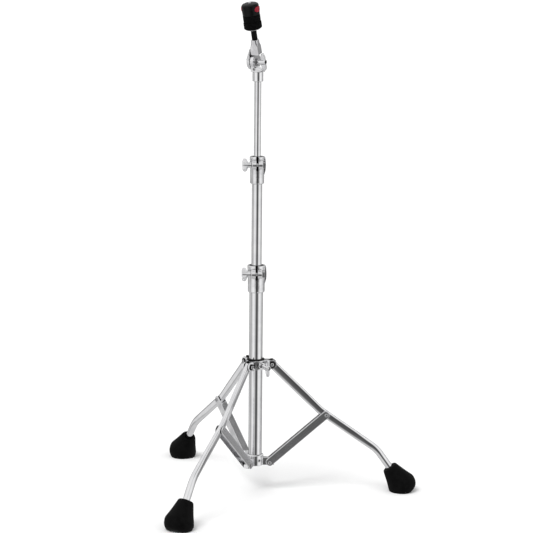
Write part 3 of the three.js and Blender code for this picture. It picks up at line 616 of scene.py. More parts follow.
class Finish:
    """A node material, or the world, that is built one node at a time."""

    def __init__(self, owner):
        owner.use_nodes = True
        self.owner = owner
        self.tree = owner.node_tree

    def node(self, kind, settings=None, inputs=(), output=0):
        """One node: its settings first, then its sockets' values or links, by order or by name."""
        made = self.tree.nodes.new(kind)
        for key, value in (settings or {}).items():
            if key == "stops":
                ramp = made.color_ramp
                while len(ramp.elements) < len(value):
                    ramp.elements.new(1.0)
                for element, (position, colour) in zip(ramp.elements, value):
                    element.position = position
                    element.color = colour
            else:
                setattr(made, key, value)
        pairs = inputs.items() if isinstance(inputs, dict) else enumerate(inputs)
        for key, value in pairs:
            self.feed(made.inputs[key], value)
        return Wire(self, made.outputs[output])

    def feed(self, socket, value):
        if isinstance(value, Wire):
            self.tree.links.new(value.socket, socket)
        else:
            socket.default_value = value

    def noise(self, scale, detail=2.0, stretch=EVEN):
        """Noise in the object's own metres, wider where stretch is smaller."""
        place = self.node("ShaderNodeTexCoord", output="Object")
        scaled = self.node("ShaderNodeMapping", None, {"Vector": place, "Scale": stretch})
        names = {"Vector": scaled, "Scale": scale, "Detail": detail}
        return self.node("ShaderNodeTexNoise", None, names)

    def spread(self, value, low, high, start=0.3, end=0.7):
        """A value taken from start..end to low..high, held at both ends."""
        names = {"Value": value, "From Min": start, "From Max": end, "To Min": low, "To Max": high}
        return self.node("ShaderNodeMapRange", {"interpolation_type": "SMOOTHSTEP"}, names)

    def mix(self, factor, first, second):
        """A colour between two, by order of Mix's colour sockets."""
        settings = {"data_type": "RGBA"}
        return self.node("ShaderNodeMix", settings, {0: factor, 6: first, 7: second}, output=2)

    def painted_recess_shade(self, reach):
        """Painted-shade mask from ambient occlusion: 0 in the open and 1 deep in a gap that is
        narrower than the reach.
        """
        kind, names = "ShaderNodeAmbientOcclusion", {"Distance": reach}
        light_let_in = self.node(kind, {"samples": 8}, names, output="AO")
        return 1 - self.spread(light_let_in, 0.0, 1.0, start=0.25, end=0.88)

    def bump(self, height, depth, strength=0.5):
        names = {"Height": height, "Distance": depth, "Strength": strength}
        return self.node("ShaderNodeBump", None, names)


def grey(value, blue=1.0):
    return (value, value, value * blue, 1.0)


def finish_of(name, **constants):
    """A material and its Principled shader, with the constants set on the shader's own sockets."""
    material = bpy.data.materials.new(name + FINISH_END)
    finish = Finish(material)
    shader = finish.tree.nodes["Principled BSDF"]
    for key, value in constants.items():
        shader.inputs[key.replace("_", " ")].default_value = value
    return finish, shader


def dressed(finish, shader, colour, roughness, normal):
    """Links what changes over the surface, and gives the material."""
    for name, value in (("Base Color", colour), ("Roughness", roughness), ("Normal", normal)):
        finish.feed(shader.inputs[name], value)
    return finish.owner


def chrome(name, bright, hazed, roughness, ripple, ripple_scale, painted_shade_reach, stretch=EVEN):
    """Chrome plate: a mirror with wipe marks, the metal's own waves and painted shade in its
    recesses.
    """
    finish, shader = finish_of(name, Metallic=1.0)
    smears = finish.noise(60.0, detail=4.0)
    specks = finish.noise(900.0, detail=1.0)
    painted_recess_shade = finish.painted_recess_shade(painted_shade_reach)
    haze = finish.spread(smears, 0.0, 1.0)
    plate = finish.mix(haze, grey(bright, BLUISH), grey(hazed, BLUER))
    polish = finish.spread(smears, *roughness)
    waves = finish.noise(ripple_scale, stretch=stretch)
    # Painted shade: the plate colour goes toward near-black grey 0.06 where ambient occlusion finds
    # a narrow gap, and the same mask raises the roughness there
    colour = finish.mix(painted_recess_shade, plate, grey(0.06))
    bump = finish.bump(waves + specks * 0.01, ripple)
    return dressed(finish, shader, colour, polish + painted_recess_shade * 0.3, bump)


def plated_steel():
    """Zinc-bright screws and rivets, with the rings of their turning and painted shade in their
    recesses.
    """
    finish, shader = finish_of("plated_steel", Metallic=1.0)
    marks = finish.noise(1400.0, stretch=(1.0, 1.0, 6.0))
    stain = finish.noise(160.0, detail=3.0)
    plate = finish.mix(finish.spread(stain, 0.0, 1.0), grey(0.50, BLUER), grey(0.64, BLUISH))
    # Painted shade: the plate colour goes toward near-black grey 0.03 where ambient occlusion finds
    # a gap within 2.5 mm
    colour = finish.mix(finish.painted_recess_shade(0.0025), plate, grey(0.03))
    polish = finish.spread(marks, 0.20, 0.34)
    return dressed(finish, shader, colour, polish, finish.bump(marks, 0.00002))


def moulded(name, dark, light, roughness, grain_scale, grain_depth, **constants):
    """A moulded plastic or rubber: faint mottling, a spark-eroded grain and uneven gloss."""
    finish, shader = finish_of(name, **constants)
    mottle = finish.noise(130.0, detail=4.0)
    grain = finish.noise(grain_scale)
    colour = finish.mix(finish.spread(mottle, 0.0, 1.0), dark, light)
    bump = finish.bump(grain + mottle * 0.3, grain_depth)
    return dressed(finish, shader, colour, finish.spread(mottle, *roughness), bump)


def black_felt():
    """Pressed black felt: matted fibres, a dusty bloom where they stand up, and no gloss."""
    finish, shader = finish_of(
        "black_felt", Sheen_Weight=0.02, Sheen_Roughness=0.5, Specular_IOR_Level=0.02,
    )
    clumps = finish.noise(420.0, detail=5.0)
    hairs = finish.noise(2600.0, detail=3.0, stretch=(1.0, 1.0, 0.35))
    fluff = finish.spread(clumps * 0.6 + hairs * 0.4, 0.0, 1.0, start=0.35, end=0.68)
    colour = finish.mix(fluff, grey(0.0008), grey(0.006))
    bump = finish.bump(clumps + hairs * 0.5, 0.0004, strength=0.8)
    return dressed(finish, shader, colour, finish.spread(hairs, 0.86, 1.0), bump)


# The reach given to each chrome sets how far its painted shade spreads into gaps
TUBE_CHROME = chrome(
    "tube_chrome", bright=0.91, hazed=0.84, roughness=(0.04, 0.07), ripple=0.00001,
    ripple_scale=18.0, painted_shade_reach=0.003, stretch=(1.0, 1.0, 0.12),
)
SHEET_CHROME = chrome(
    "sheet_chrome", bright=0.84, hazed=0.70, roughness=(0.17, 0.27), ripple=0.00004,
    ripple_scale=60.0, painted_shade_reach=0.003,
)
CAST_CHROME = chrome(
    "cast_chrome", bright=0.95, hazed=0.76, roughness=(0.04, 0.09), ripple=0.00045,
    ripple_scale=150.0, painted_shade_reach=0.007,
)
STEEL = plated_steel()
NYLON = moulded(
    "black_nylon", grey(0.002), grey(0.004), roughness=(0.30, 0.44), grain_scale=2400.0,
    grain_depth=0.00003, Specular_IOR_Level=0.08,
)
RUBBER = moulded(
    "black_rubber", grey(0.001), grey(0.003), roughness=(0.50, 0.66), grain_scale=1500.0,
    grain_depth=0.00008, Specular_IOR_Level=0.07,
)
FELT_FINISH = black_felt()
PLASTIC = moulded(
    "black_plastic", grey(0.002), grey(0.004), roughness=(0.16, 0.28), grain_scale=3000.0,
    grain_depth=0.00002, Specular_IOR_Level=0.14,
)
RED = moulded(
    "red_plastic", (0.23, 0.006, 0.018, 1.0), (0.29, 0.010, 0.026, 1.0), roughness=(0.25, 0.38),
    grain_scale=3000.0, grain_depth=0.00002, Specular_IOR_Level=0.25, Coat_Weight=0.08,
)


def finished(thing, node, place, finish, sharp=35.0):
    """Puts a thing made in millimetres at its place, to stand for one CAD node."""
    thing.data.transform(Matrix.Scale(MM, 4) @ place)
    thing.name = node + "_finished"
    thing.data.name = thing.name
    thing.data.materials.clear()
    thing.data.materials.append(finish)
    thing.data.shade_smooth()
    thing.data.set_sharp_from_angle(angle=math.radians(sharp))
    weighted = thing.modifiers.new("even_shading", "WEIGHTED_NORMAL")
    weighted.keep_sharp = True
    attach(thing, BODY[node])
    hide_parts(node)
    return thing


# Tubes

def tube(node, outer, wall):
    low, high = corner(node, 0).z, corner(node, 1).z
    finished(pipe(outer, outer - wall, low, high, soft=0.6), node, MAST, TUBE_CHROME)


tube("base_tube", BASE_R, BASE_WALL)
tube("middle_tube", MIDDLE_R, MIDDLE_WALL)
tube("top_tube", TOP_R, TOP_WALL)


# Hub

CHEEK_OUTER = LEG_PRESSED[1] / 2 + GAP + CHEEK
HUB_BORE_R = BASE_R + HUB_SLIDE_GAP + HUB_BUSH_WALL + GAP
LEG_BUSH_R = RIVET_R + GAP + LEG_BUSH_WALL


def hub_casting():
    low, high = HUB_FOOT, HUB_TOP
    below, above = low - OVERRUN, high + OVERRUN
    ring = turned([
        (HUB_BORE_R, low), (HUB_RIM_R, low), (HUB_RIM_R, low + HUB_RIM),
        (HUB_WAIST_R, low + HUB_RIM), (HUB_WAIST_R, high - HUB_RIM), (HUB_RIM_R, high - HUB_RIM),
        (HUB_RIM_R, high), (HUB_BORE_R, high),
    ])
    squash = (high - low) / 2 / CHEEK_END_R
    cheek = [(HUB_BORE_R, low)]
    cheek += arc(HUB_PIVOT.x, HUB_PIVOT.z, CHEEK_END_R, -90, 90, 32, squash)
    cheek += [(HUB_BORE_R, high)]
    boss = rod(SCREW_BOSS_R, HUB_BORE_R + GAP, SCREW_BOSS_REACH, EDGE)
    for step in (ALONG_X, move(z=HUB_PIVOT.z), turn("Z", SCREW_AZIMUTH)):
        put(boss, step)
    bodies = [boss]
    tools = [rod(HUB_BORE_R, below, above, soft=0, sides=ROUND)]
    slot = LEG_PRESSED[1] / 2 + GAP
    far = HUB_PIVOT.x + CHEEK_END_R + OVERRUN
    reach = CHEEK_OUTER + OVERRUN
    for side in THIRDS:
        bodies.append(put(slab(cheek, 2 * CHEEK_OUTER, soft=0.7), side @ IN_XZ))
        tools.append(put(block((SLOT_FLOOR_R, -slot, below), (far, slot, above)), side))
        hole = rod(LEG_BUSH_R + GAP, -reach, reach)
        tools.append(put(hole, side @ AT_HUB_PIVOT @ ALONG_Y))
    hole = rod(BOLT_R + GAP, 0, SCREW_BOSS_REACH + OVERRUN)
    tools.append(put(hole, HUB_SCREW_WAY @ ALONG_X))
    for number in range(3):
        for spread in (-SLIT_SPREAD, SLIT_SPREAD):
            slit = block(
                (HUB_WAIST_R - SLIT_DEPTH, -SLIT_WIDTH / 2, low + HUB_RIM),
                (HUB_RIM_R + SLIT_DEPTH, SLIT_WIDTH / 2, high - HUB_RIM),
            )
            tools.append(put(slit, turn("Z", SCREW_AZIMUTH + 120 * number + spread)))
    return eased(cut(join(ring, *bodies), *tools), FINE_EDGE)


def hub_bush():
    inner = BASE_R + HUB_SLIDE_GAP
    outer = inner + HUB_BUSH_WALL
    flange = HUB_TOP + GAP
    top = flange + HUB_FLANGE
    sleeve = turned([
        (inner, HUB_BUSH_FOOT), (outer, HUB_BUSH_FOOT), (outer, flange), (HUB_FLANGE_R, flange),
        (HUB_FLANGE_R, top), (inner, top),
    ], soft=0.6)
    return cut(sleeve, put(rod(BOLT_R + GAP, 0, HUB_RIM_R), HUB_SCREW_WAY @ ALONG_X))


def wing(bored=True):
    """A cast wing along X: a tapered boss between two flat, rounded ears."""
    ear = [(along * BOSS_LENGTH, out * WING_SPAN / 2) for along, out in WING_EAR]
    outline = rounded(ear + [(x, -y) for x, y in reversed(ear[1:-1])], 1.6, steps=4)
    ears = put(slab(outline, WING_THICKNESS, soft=1.5), IN_XZ)
    edge = CHAMFER / 2
    boss = put(turned([
        (0, 0), (BOSS_R, 0), (BOSS_R, BOSS_LENGTH - edge), (BOSS_R - edge, BOSS_LENGTH),
        (0, BOSS_LENGTH),
    ], soft=0.7, sides=SMALL_ROUND), ALONG_X)
    dimple = rod(DIMPLE_R, BOSS_LENGTH - WING_THICKNESS / 2, BOSS_LENGTH + OVERRUN)
    tools = [put(dimple, ALONG_X)]
    if bored:
        tools.append(put(rod(BOLT_R + GAP, -OVERRUN, BOSS_LENGTH + OVERRUN), ALONG_X))
    return eased(cut(join(boss, ears), *tools), 0.45, angle=34.0, segments=3)


def hub_wing_screw():
    boss_foot = SCREW_BOSS_REACH + SCREW_STAND_OFF
    shank = put(rod(BOLT_R, BASE_R + GAP, boss_foot + WING_THICKNESS), ALONG_X)
    return join(put(wing(bored=False), move(boss_foot)), shank)


finished(hub_casting(), "hub_casting", MAST, CAST_CHROME)
finished(hub_bush(), "hub_bush", MAST, NYLON)
finished(hub_wing_screw(), "hub_wing_screw", MAST @ HUB_SCREW_WAY, CAST_CHROME)


# Legs

def plane(r, z):
    return Vector((r, 0, z))


def downhill(degrees):
    slope = math.radians(degrees)
    return plane(math.cos(slope), -math.sin(slope))


LOWER_WAY = downhill(LOWER_SLOPE)
FOOT_WAY = downhill(ANKLE_SLOPE)
LEG_PIVOT = plane(HUB_PIVOT.x, HUB_PIVOT.z)
KNEE_RIVET = plane(BRACE_PIVOT.x, BRACE_PIVOT.z)
KNEE = KNEE_RIVET - LOWER_WAY * KNEE_LEAD
ANKLE = KNEE_RIVET + LOWER_WAY * LOWER_LEG
FOOT_ENTRY = ANKLE + FOOT_WAY * ANKLE_LENGTH
LEG_END = FOOT_ENTRY + FOOT_WAY * LEG_IN_FOOT
UPPER_WAY = (KNEE - LEG_PIVOT).normalized()
LEG_START = LEG_PIVOT - UPPER_WAY * LEG_PRESSED[0] / 2


def leg_stations():
    """(centre, direction, shares of the three sections) down the leg."""
    stations = []

    def straight(a, b, first, last, steps):
        for k in range(steps):
            t = k / steps
            shares = [x + (y - x) * t * t * (3 - 2 * t) for x, y in zip(first, last)]
            stations.append((a.lerp(b, t), (b - a).normalized(), shares))

    def bend(at, way_in, way_out, size, first, last, steps):
        a, b = at - way_in * size, at + way_out * size
        for k in range(steps):
            t = k / steps
            place = a * (1 - t) ** 2 + at * 2 * t * (1 - t) + b * t * t
            shares = [x + (y - x) * t for x, y in zip(first, last)]
            stations.append((place, way_in.lerp(way_out, t).normalized(), shares))
        return b

    knee_top = KNEE - UPPER_WAY * KNEE_CORNER
    flat_end = LEG_START.lerp(knee_top, PRESSED_SHARE)
    straight(LEG_START, flat_end, AS_PRESSED, AS_PRESSED, steps=10)
    straight(flat_end, knee_top, AS_PRESSED, BEFORE_KNEE, steps=14)
    knee_foot = bend(KNEE, UPPER_WAY, LOWER_WAY, KNEE_CORNER, BEFORE_KNEE, AT_KNEE, steps=12)
    ankle_top = ANKLE - LOWER_WAY * ANKLE_CORNER
    square_end = knee_foot.lerp(ankle_top, SQUARE_SHARE)
    straight(knee_foot, square_end, AT_KNEE, BELOW_KNEE, steps=10)
    straight(square_end, ankle_top, BELOW_KNEE, BEFORE_ANKLE, steps=12)
    ankle_foot = bend(ANKLE, LOWER_WAY, FOOT_WAY, ANKLE_CORNER, BEFORE_ANKLE, AS_ROUND, steps=20)
    straight(ankle_foot, LEG_END, AS_ROUND, AS_ROUND, steps=6)
    stations.append((LEG_END, FOOT_WAY, AS_ROUND))
    return stations


def leg_ring(middle, ahead, shares, inset):
    """One section of the leg: a squarish ring that turns into a round one as its share grows."""
    pressed, knee_share, round_share = shares
    depth, width = (
        pressed * flat + knee_share * knee_size + round_share * LEG_ROUND - 2 * inset
        for flat, knee_size in zip(LEG_PRESSED, LEG_KNEE)
    )
    power = 2 / (round_share * 2 + (1 - round_share) * LEG_SQUARENESS)
    up = Vector((-ahead.z, 0, ahead.x))
    ring = []
    for k in range(LEG_SIDES):
        angle = 2 * math.pi * (k + 0.5) / LEG_SIDES
        high, wide = (
            math.copysign(abs(v) ** power, v) for v in (math.cos(angle), math.sin(angle))
        )
        ring.append(middle + up * high * depth / 2 + Vector((0, wide * width / 2, 0)))
    return ring


def leg_tube():
    stations = leg_stations()
    outer = [leg_ring(*station, 0) for station in stations]
    inner = [leg_ring(*station, LEG_WALL) for station in reversed(stations)]
    body = skin(outer + inner, closed=True)
    half = LEG_PRESSED[0] / 2
    far = half + OVERRUN
    corners = [(0, far), (-far, far), (-far, -far), (0, -far)] + arc(0, 0, half, -90, -270, 32)
    rise = math.degrees(math.atan2(-UPPER_WAY.z, UPPER_WAY.x))
    rounding = slab(corners, LEG_PRESSED[1] + OVERRUN, soft=0)
    reach = LEG_PRESSED[1]
    return cut(
        body, put(rounding, AT_HUB_PIVOT @ turn("Y", rise) @ IN_XZ),
        drill(LEG_BUSH_R, -reach, reach, AT_HUB_PIVOT @ ALONG_Y),
        drill(RIVET_R, -reach, reach, AT_BRACE_PIVOT @ ALONG_Y),
    )


def leg_cap():
    """The black plug of the leg's upper end, standing proud of it."""
    seat = LEG_PRESSED[0] / 2 + GAP
    radius = LEG_PRESSED[1] / 2 - LEG_WALL / 2
    top = seat + CAP_PROUD
    plug = turned([
        (0, seat), (radius, seat), (radius, top - CAP_SHOULDER), (radius - LEG_WALL / 2, top),
        (0, top + LEG_WALL / 2),
    ], soft=0.6, sides=SMALL_ROUND)
    return put(plug, AT_HUB_PIVOT @ turn("Y", -CAP_LEAN))


def rubber_foot():
    bore = LEG_ROUND / 2 + GAP
    bore_end = LEG_IN_FOOT + GAP
    body = turned([(0, bore_end), (bore, bore_end), (bore, 0)] + FOOT_OUTLINE, soft=3.0)
    placed = put(body, move(FOOT_ENTRY.x, 0, FOOT_ENTRY.z) @ turn("Y", 90 + ANKLE_SLOPE))
    wide = FOOT_R + OVERRUN
    near, far = FOOT_ENTRY.x - FOOT_CUT, FOOT_ENTRY.x + FOOT_CUT
    return eased(cut(placed, block((near, -wide, -FOOT_CUT), (far, wide, 0))), 0.8, segments=3)


def hollow_rivet(half_reach):
    """A tubular rivet across Y: a rolled rim with a dark bore at each end."""
    bore_foot = half_reach - RIVET_BORE_DEPTH
    end = [(0, bore_foot), (RIVET_BORE, bore_foot)]
    end += [(radius, half_reach + height) for radius, height in RIVET_RIM]
    end += [(RIVET_R, half_reach)]
    profile = end + [(r, -z) for r, z in reversed(end)]
    return put(turned(profile, soft=0.35, sides=SMALL_ROUND), ALONG_Y)


BUSH_FLANGE_FOOT = CHEEK_OUTER + GAP
BUSH_FLANGE_TOP = BUSH_FLANGE_FOOT + LEG_BUSH_FLANGE


def leg_bush():
    foot, top, wide = BUSH_FLANGE_FOOT, BUSH_FLANGE_TOP, LEG_BUSH_FLANGE_R
    half = [(LEG_BUSH_R, foot), (wide, foot), (wide, top), (RIVET_R + GAP, top)]
    profile = [(r, -z) for r, z in reversed(half)] + half
    return put(turned(profile, soft=0.3, sides=SMALL_ROUND), ALONG_Y)


BRACE_OUTER = BRACE_INNER / 2 + BRACE_SHEET
BRACE_WAY = BRACE_PIVOT - COLLAR_PIVOT
BRACE_LENGTH = BRACE_WAY.length
BRACE_RISE = math.degrees(math.atan2(BRACE_WAY.z, BRACE_WAY.x))


def brace():
    """A folded channel: two round-ended flanges and a web that is cut back from the pivots."""
    middle = (BRACE_WEB - BRACE_EDGE) / 2
    half = (BRACE_WEB + BRACE_EDGE) / 2
    squash = half / BRACE_EDGE
    side = arc(BRACE_LENGTH, middle, BRACE_EDGE, -90, 90, 32, squash)
    side += arc(0, middle, BRACE_EDGE, 90, 270, 32, squash)
    far = BRACE_EDGE + OVERRUN
    web = BRACE_WEB - BRACE_SHEET
    end = BRACE_LENGTH - BRACE_CUTBACK
    channel = [
        (-far, -far), (BRACE_LENGTH + far, -far), (BRACE_LENGTH + far, far), (end, far),
        (end, web), (BRACE_CUTBACK, web), (BRACE_CUTBACK, far), (-far, far),
    ]
    body = put(slab(side, 2 * BRACE_OUTER, soft=1.4), IN_XZ)
    tools = [put(slab(channel, BRACE_INNER, soft=0), IN_XZ)]
    reach = BRACE_OUTER + OVERRUN
    tools += [drill(RIVET_R, -reach, reach, move(x) @ ALONG_Y) for x in (0, BRACE_LENGTH)]
    return put(eased(cut(body, *tools), FINE_EDGE), AT_COLLAR_PIVOT @ turn("Y", -BRACE_RISE))


leg_pieces = [
    ("leg", leg_tube(), TUBE_CHROME),
    ("leg_cap", leg_cap(), NYLON),
    ("foot", rubber_foot(), RUBBER),
    ("leg_bush", put(leg_bush(), AT_HUB_PIVOT), NYLON),
    ("leg_rivet", put(hollow_rivet(BUSH_FLANGE_TOP + GAP), AT_HUB_PIVOT), STEEL),
    ("brace", brace(), SHEET_CHROME),
    ("brace_rivet", put(hollow_rivet(BRACE_OUTER + GAP), AT_BRACE_PIVOT), STEEL),
    ("collar_rivet", put(hollow_rivet(BRACE_OUTER + GAP), AT_COLLAR_PIVOT), STEEL),
]
for piece_name, pattern, piece_finish in leg_pieces:
    for leg_number, leg_place in LEGS.items():
        finished(copied(pattern), f"{piece_name}_{leg_number}", leg_place, piece_finish)
    drop(pattern)


# Lower collar

def lower_collar():
    bore = BASE_R + GAP
    low, high = COLLAR_FOOT, COLLAR_TOP
    ring = turned([
        (bore, low), (COLLAR_R - CHAMFER / 2, low), (COLLAR_R, low + CHAMFER / 2),
        (COLLAR_R, high - CHAMFER), (COLLAR_R - CHAMFER, high), (bore, high),
    ])
    end = COLLAR_PIVOT.x + LUG_REACH
    lug = rounded([
        (bore, low), (end, low), (end, COLLAR_PIVOT.z + LUG_CORNER),
        (COLLAR_PIVOT.x + LUG_CORNER, COLLAR_PIVOT.z + LUG_TOP_OUTER),
        (bore, COLLAR_PIVOT.z + LUG_TOP_INNER),
    ], 1.6)
    bodies = []
    tools = [drill(BASE_R, low - OVERRUN, high + OVERRUN, sides=ROUND)]
    for side in THIRDS:
        bodies.append(put(slab(lug, LUG_WIDTH, soft=0.7), side @ IN_XZ))
        way = side @ AT_COLLAR_PIVOT @ ALONG_Y
        tools.append(drill(RIVET_R, -LUG_WIDTH, LUG_WIDTH, way, play=LUG_PLAY))
    tools.append(drill(COLLAR_SCREW_R, BASE_R, COLLAR_R + OVERRUN, COLLAR_SCREW_WAY @ ALONG_X))
    return eased(cut(join(ring, *bodies), *tools), FINE_EDGE)


def collar_screw():
    inner = BASE_R + GAP
    socket_r = COLLAR_SCREW_R / 2 / math.cos(math.radians(30))
    socket_foot = COLLAR_R - SOCKET_DEPTH
    body = turned([
        (0, inner), (COLLAR_SCREW_R, inner), (COLLAR_SCREW_R, COLLAR_R), (socket_r, COLLAR_R),
        (socket_r, socket_foot), (0, socket_foot),
    ], soft=0.2, sides=SCREW_ROUND)
    return put(body, COLLAR_SCREW_WAY @ ALONG_X)


finished(lower_collar(), "lower_collar", MAST, CAST_CHROME)
finished(collar_screw(), "collar_screw", MAST, STEEL)


# Height joints

EAR_OUTER = CLAMP_GAP / 2 + EAR_WIDTH
JOINT_BOLT_Z = JOINT_HEIGHT - BOLT_DROP


def joint_bolt_y(tube_r, wall):
    return -(tube_r + wall + BOLT_R + BOLT_CLEAR)


def joint_casting(tube_r, wall):
    bore = tube_r + GAP
    sleeve = tube_r + wall
    band = sleeve + BAND_PROUD
    band_foot = JOINT_HEIGHT - BAND_HEIGHT
    groove_foot = band_foot - RECESS_HEIGHT
    neck = band - RECESS
    ring = turned([
        (bore, 0), (sleeve - CHAMFER, 0), (sleeve, CHAMFER), (sleeve, groove_foot - BAND_HEIGHT),
        (band, band_foot - BAND_HEIGHT), (band, groove_foot), (neck, groove_foot),
        (neck, band_foot), (band, band_foot), (band, JOINT_HEIGHT - CHAMFER / 2),
        (band - CHAMFER / 2, JOINT_HEIGHT), (bore, JOINT_HEIGHT),
    ])
    bolt_y, bolt_z = joint_bolt_y(tube_r, wall), JOINT_BOLT_Z
    ear = [(-bore, bolt_z + EAR_R)] + arc(bolt_y, bolt_z, EAR_R, 90, 270, 32)
    ear += [(-bore, bolt_z - EAR_R)]
    ears = put(slab(ear, 2 * EAR_OUTER, soft=1.2), IN_YZ)
    rib_top = JOINT_HEIGHT - CHAMFER
    rib = [(bore, rib_top - RIB_HEIGHT)]
    rib += [(sleeve + out * RIB_PROUD, rib_top - down * RIB_HEIGHT) for out, down in RIB_OUTLINE]
    rib += [(bore, rib_top)]
    strap = put(slab(rounded(rib, 4.0, steps=5), RIB_WIDTH, soft=1.2), IN_XZ)
    gap, above = CLAMP_GAP / 2, JOINT_HEIGHT + OVERRUN
    mouth = block(
        (-gap, bolt_y - EAR_R - OVERRUN, bolt_z - EAR_R - CLAMP_GAP), (gap, 0, above),
    )
    slot = block((-SLOT_WIDTH / 2, -sleeve - OVERRUN, -OVERRUN), (SLOT_WIDTH / 2, 0, JOINT_HEIGHT))
    reach = EAR_OUTER + OVERRUN
    tools = [
        drill(tube_r, -OVERRUN, above, sides=ROUND), mouth, slot,
        drill(BOLT_R, -reach, reach, move(0, bolt_y, bolt_z) @ ALONG_X),
    ]
    return eased(cut(join(ring, ears, strap), *tools), FINE_EDGE)


def joint_bush(tube_r, inner_r):
    low = JOINT_GRIP + GAP
    edge = CHAMFER / 2
    inner = inner_r + GAP
    return turned([
        (inner, low), (tube_r, low), (tube_r, JOINT_HEIGHT - edge), (tube_r - edge, JOINT_HEIGHT),
        (inner, JOINT_HEIGHT),
    ], soft=0.3)


def threaded(radius, low, high):
    """A rod with the ridges of its thread, as rings."""
    turns = max(1, int((high - low) / THREAD_PITCH))
    step = (high - low) / turns
    root = radius - THREAD_DEPTH
    profile = [(0, low), (root, low)]
    for k in range(turns):
        profile += [(radius, low + (k + 0.5) * step), (root, low + (k + 1) * step)]
    profile += [(0, high)]
    return turned(profile, soft=0.08, sides=SCREW_ROUND)


def joint_bolt(tube_r, wall):
    seat = EAR_OUTER + GAP
    half = HEAD_SIDE / 2
    head = put(block((-half, -half, 0), (half, half, HEAD_HEIGHT), soft=0.8), move(seat) @ ALONG_X)
    thread_end = -seat + THREAD_IN
    plain = put(rod(BOLT_R, thread_end - THREAD_LAP, seat + HEAD_HEIGHT / 2), ALONG_X)
    thread = put(threaded(BOLT_R, -seat - BOSS_LENGTH + WING_THICKNESS, thread_end), ALONG_X)
    return put(join(head, plain, thread), move(0, joint_bolt_y(tube_r, wall), JOINT_BOLT_Z))


def joint_nut(tube_r, wall):
    place = move(-EAR_OUTER - GAP, joint_bolt_y(tube_r, wall), JOINT_BOLT_Z)
    return put(wing(), place @ turn("Z", 180) @ turn("X", JOINT_WING_TURN))


for joint_name, outer_r, inner_r in (("lower", BASE_R, MIDDLE_R), ("upper", MIDDLE_R, TOP_R)):
    joint_place = MAST @ move(z=corner(f"{joint_name}_joint", 0).z)
    joint_wall = JOINT_WALL[joint_name]
    joint_pieces = [
        ("joint", joint_casting(outer_r, joint_wall), CAST_CHROME),
        ("bush", joint_bush(outer_r, inner_r), NYLON),
        ("bolt", joint_bolt(outer_r, joint_wall), STEEL),
        ("wing_nut", joint_nut(outer_r, joint_wall), CAST_CHROME),
    ]
    for piece_name, piece, piece_finish in joint_pieces:
        finished(piece, f"{joint_name}_{piece_name}", joint_place, piece_finish)


# Tilter

BRACKET_FACE = -(DISC_EDGE + DISC)
ARM_FACE = BRACKET_FACE - GAP
TILTER_WASHER_FOOT = -DISC_EDGE + GAP
TILTER_NUT_FOOT = TILTER_WASHER_FOOT + TILTER_WASHER + GAP
BRACKET_SCREW_WAY = move(-BRACKET_SCREW_R, 0, -BRACKET_SCREW_DROP) @ turn("X", 180) @ ALONG_Y


def tooth_cutter(face, side):
    """Cuts V grooves that run out from the hinge into a face across X.

    The side is the way out of the metal.
    """
    inner, outer = DISC_R - TOOTH_RING, DISC_R + TOOTH_REACH
    clear = face - side * OVERRUN
    rings = []
    for radius, toothed in ((inner, False), (inner, True), (outer, True), (outer, False)):
        ring = []
        for k in range(2 * TEETH):
            angle = math.radians(180 / TEETH * (k + side / 2))
            deep = TOOTH if k % 2 else -TOOTH_LAND
            x = face + side * deep if toothed else clear
            ring.append((x, -radius * math.sin(angle), radius * math.cos(angle)))
        rings.append(ring)
    return skin(rings, closed=True)


def tilter_bracket():
    flare = -HINGE_ON_TUBE + BRACKET_HEIGHT
    shoulder = flare * BRACKET_SHOULDER
    sleeve = turned([
        (0, -HINGE_ON_TUBE), (BRACKET_R, -HINGE_ON_TUBE), (BRACKET_R, flare), (0, flare),
    ], soft=0.8)
    front = rounded([
        (-BRACKET_R, flare - GAP), (BRACKET_R, flare - GAP),
        (BRACKET_R, flare + GAP), (NECK_R, shoulder), (-DISC_EDGE, flare * BRACKET_CHEST),
        (-DISC_EDGE, DISC_R + OVERRUN), (BRACKET_FACE, DISC_R + OVERRUN),
        (BRACKET_FACE, shoulder), (-BRACKET_R, flare + GAP),
    ], 1.2)
    side = [(-BRACKET_R, flare - OVERRUN), (BRACKET_R, flare - OVERRUN), (BRACKET_R, flare)]
    side += arc(0, 0, DISC_R, -BRACKET_SPREAD, 180 + BRACKET_SPREAD, 64) + [(-BRACKET_R, flare)]
    bore_top = BRACKET_DEPTH - HINGE_ON_TUBE + GAP
    relief = pipe(RELIEF_R, DISC_R, BRACKET_FACE - OVERRUN, BRACKET_FACE + RELIEF, soft=0)
    reach = 2 * DISC_R
    tools = [
        drill(TOP_R, -HINGE_ON_TUBE - OVERRUN, bore_top),
        drill(BOLT_R, -reach, reach, ALONG_X),
        drill(BRACKET_SCREW_R, TOP_R, reach, BRACKET_SCREW_WAY),
        put(relief, ALONG_X),
        tooth_cutter(BRACKET_FACE, 1),
    ]
    return eased(cut(join(sleeve, crossed(front, side, 3 * DISC_R)), *tools), FINE_EDGE)


def bracket_screw():
    inner, outer = TOP_R + GAP, BRACKET_R + GAP * 2
    radius = BRACKET_SCREW_R
    profile = [(0, inner), (radius, inner), (radius, outer)]
    profile += [(radius * share, outer + height) for share, height in BRACKET_SOCKET]
    return put(turned(profile, soft=0.25, sides=SCREW_ROUND), BRACKET_SCREW_WAY)


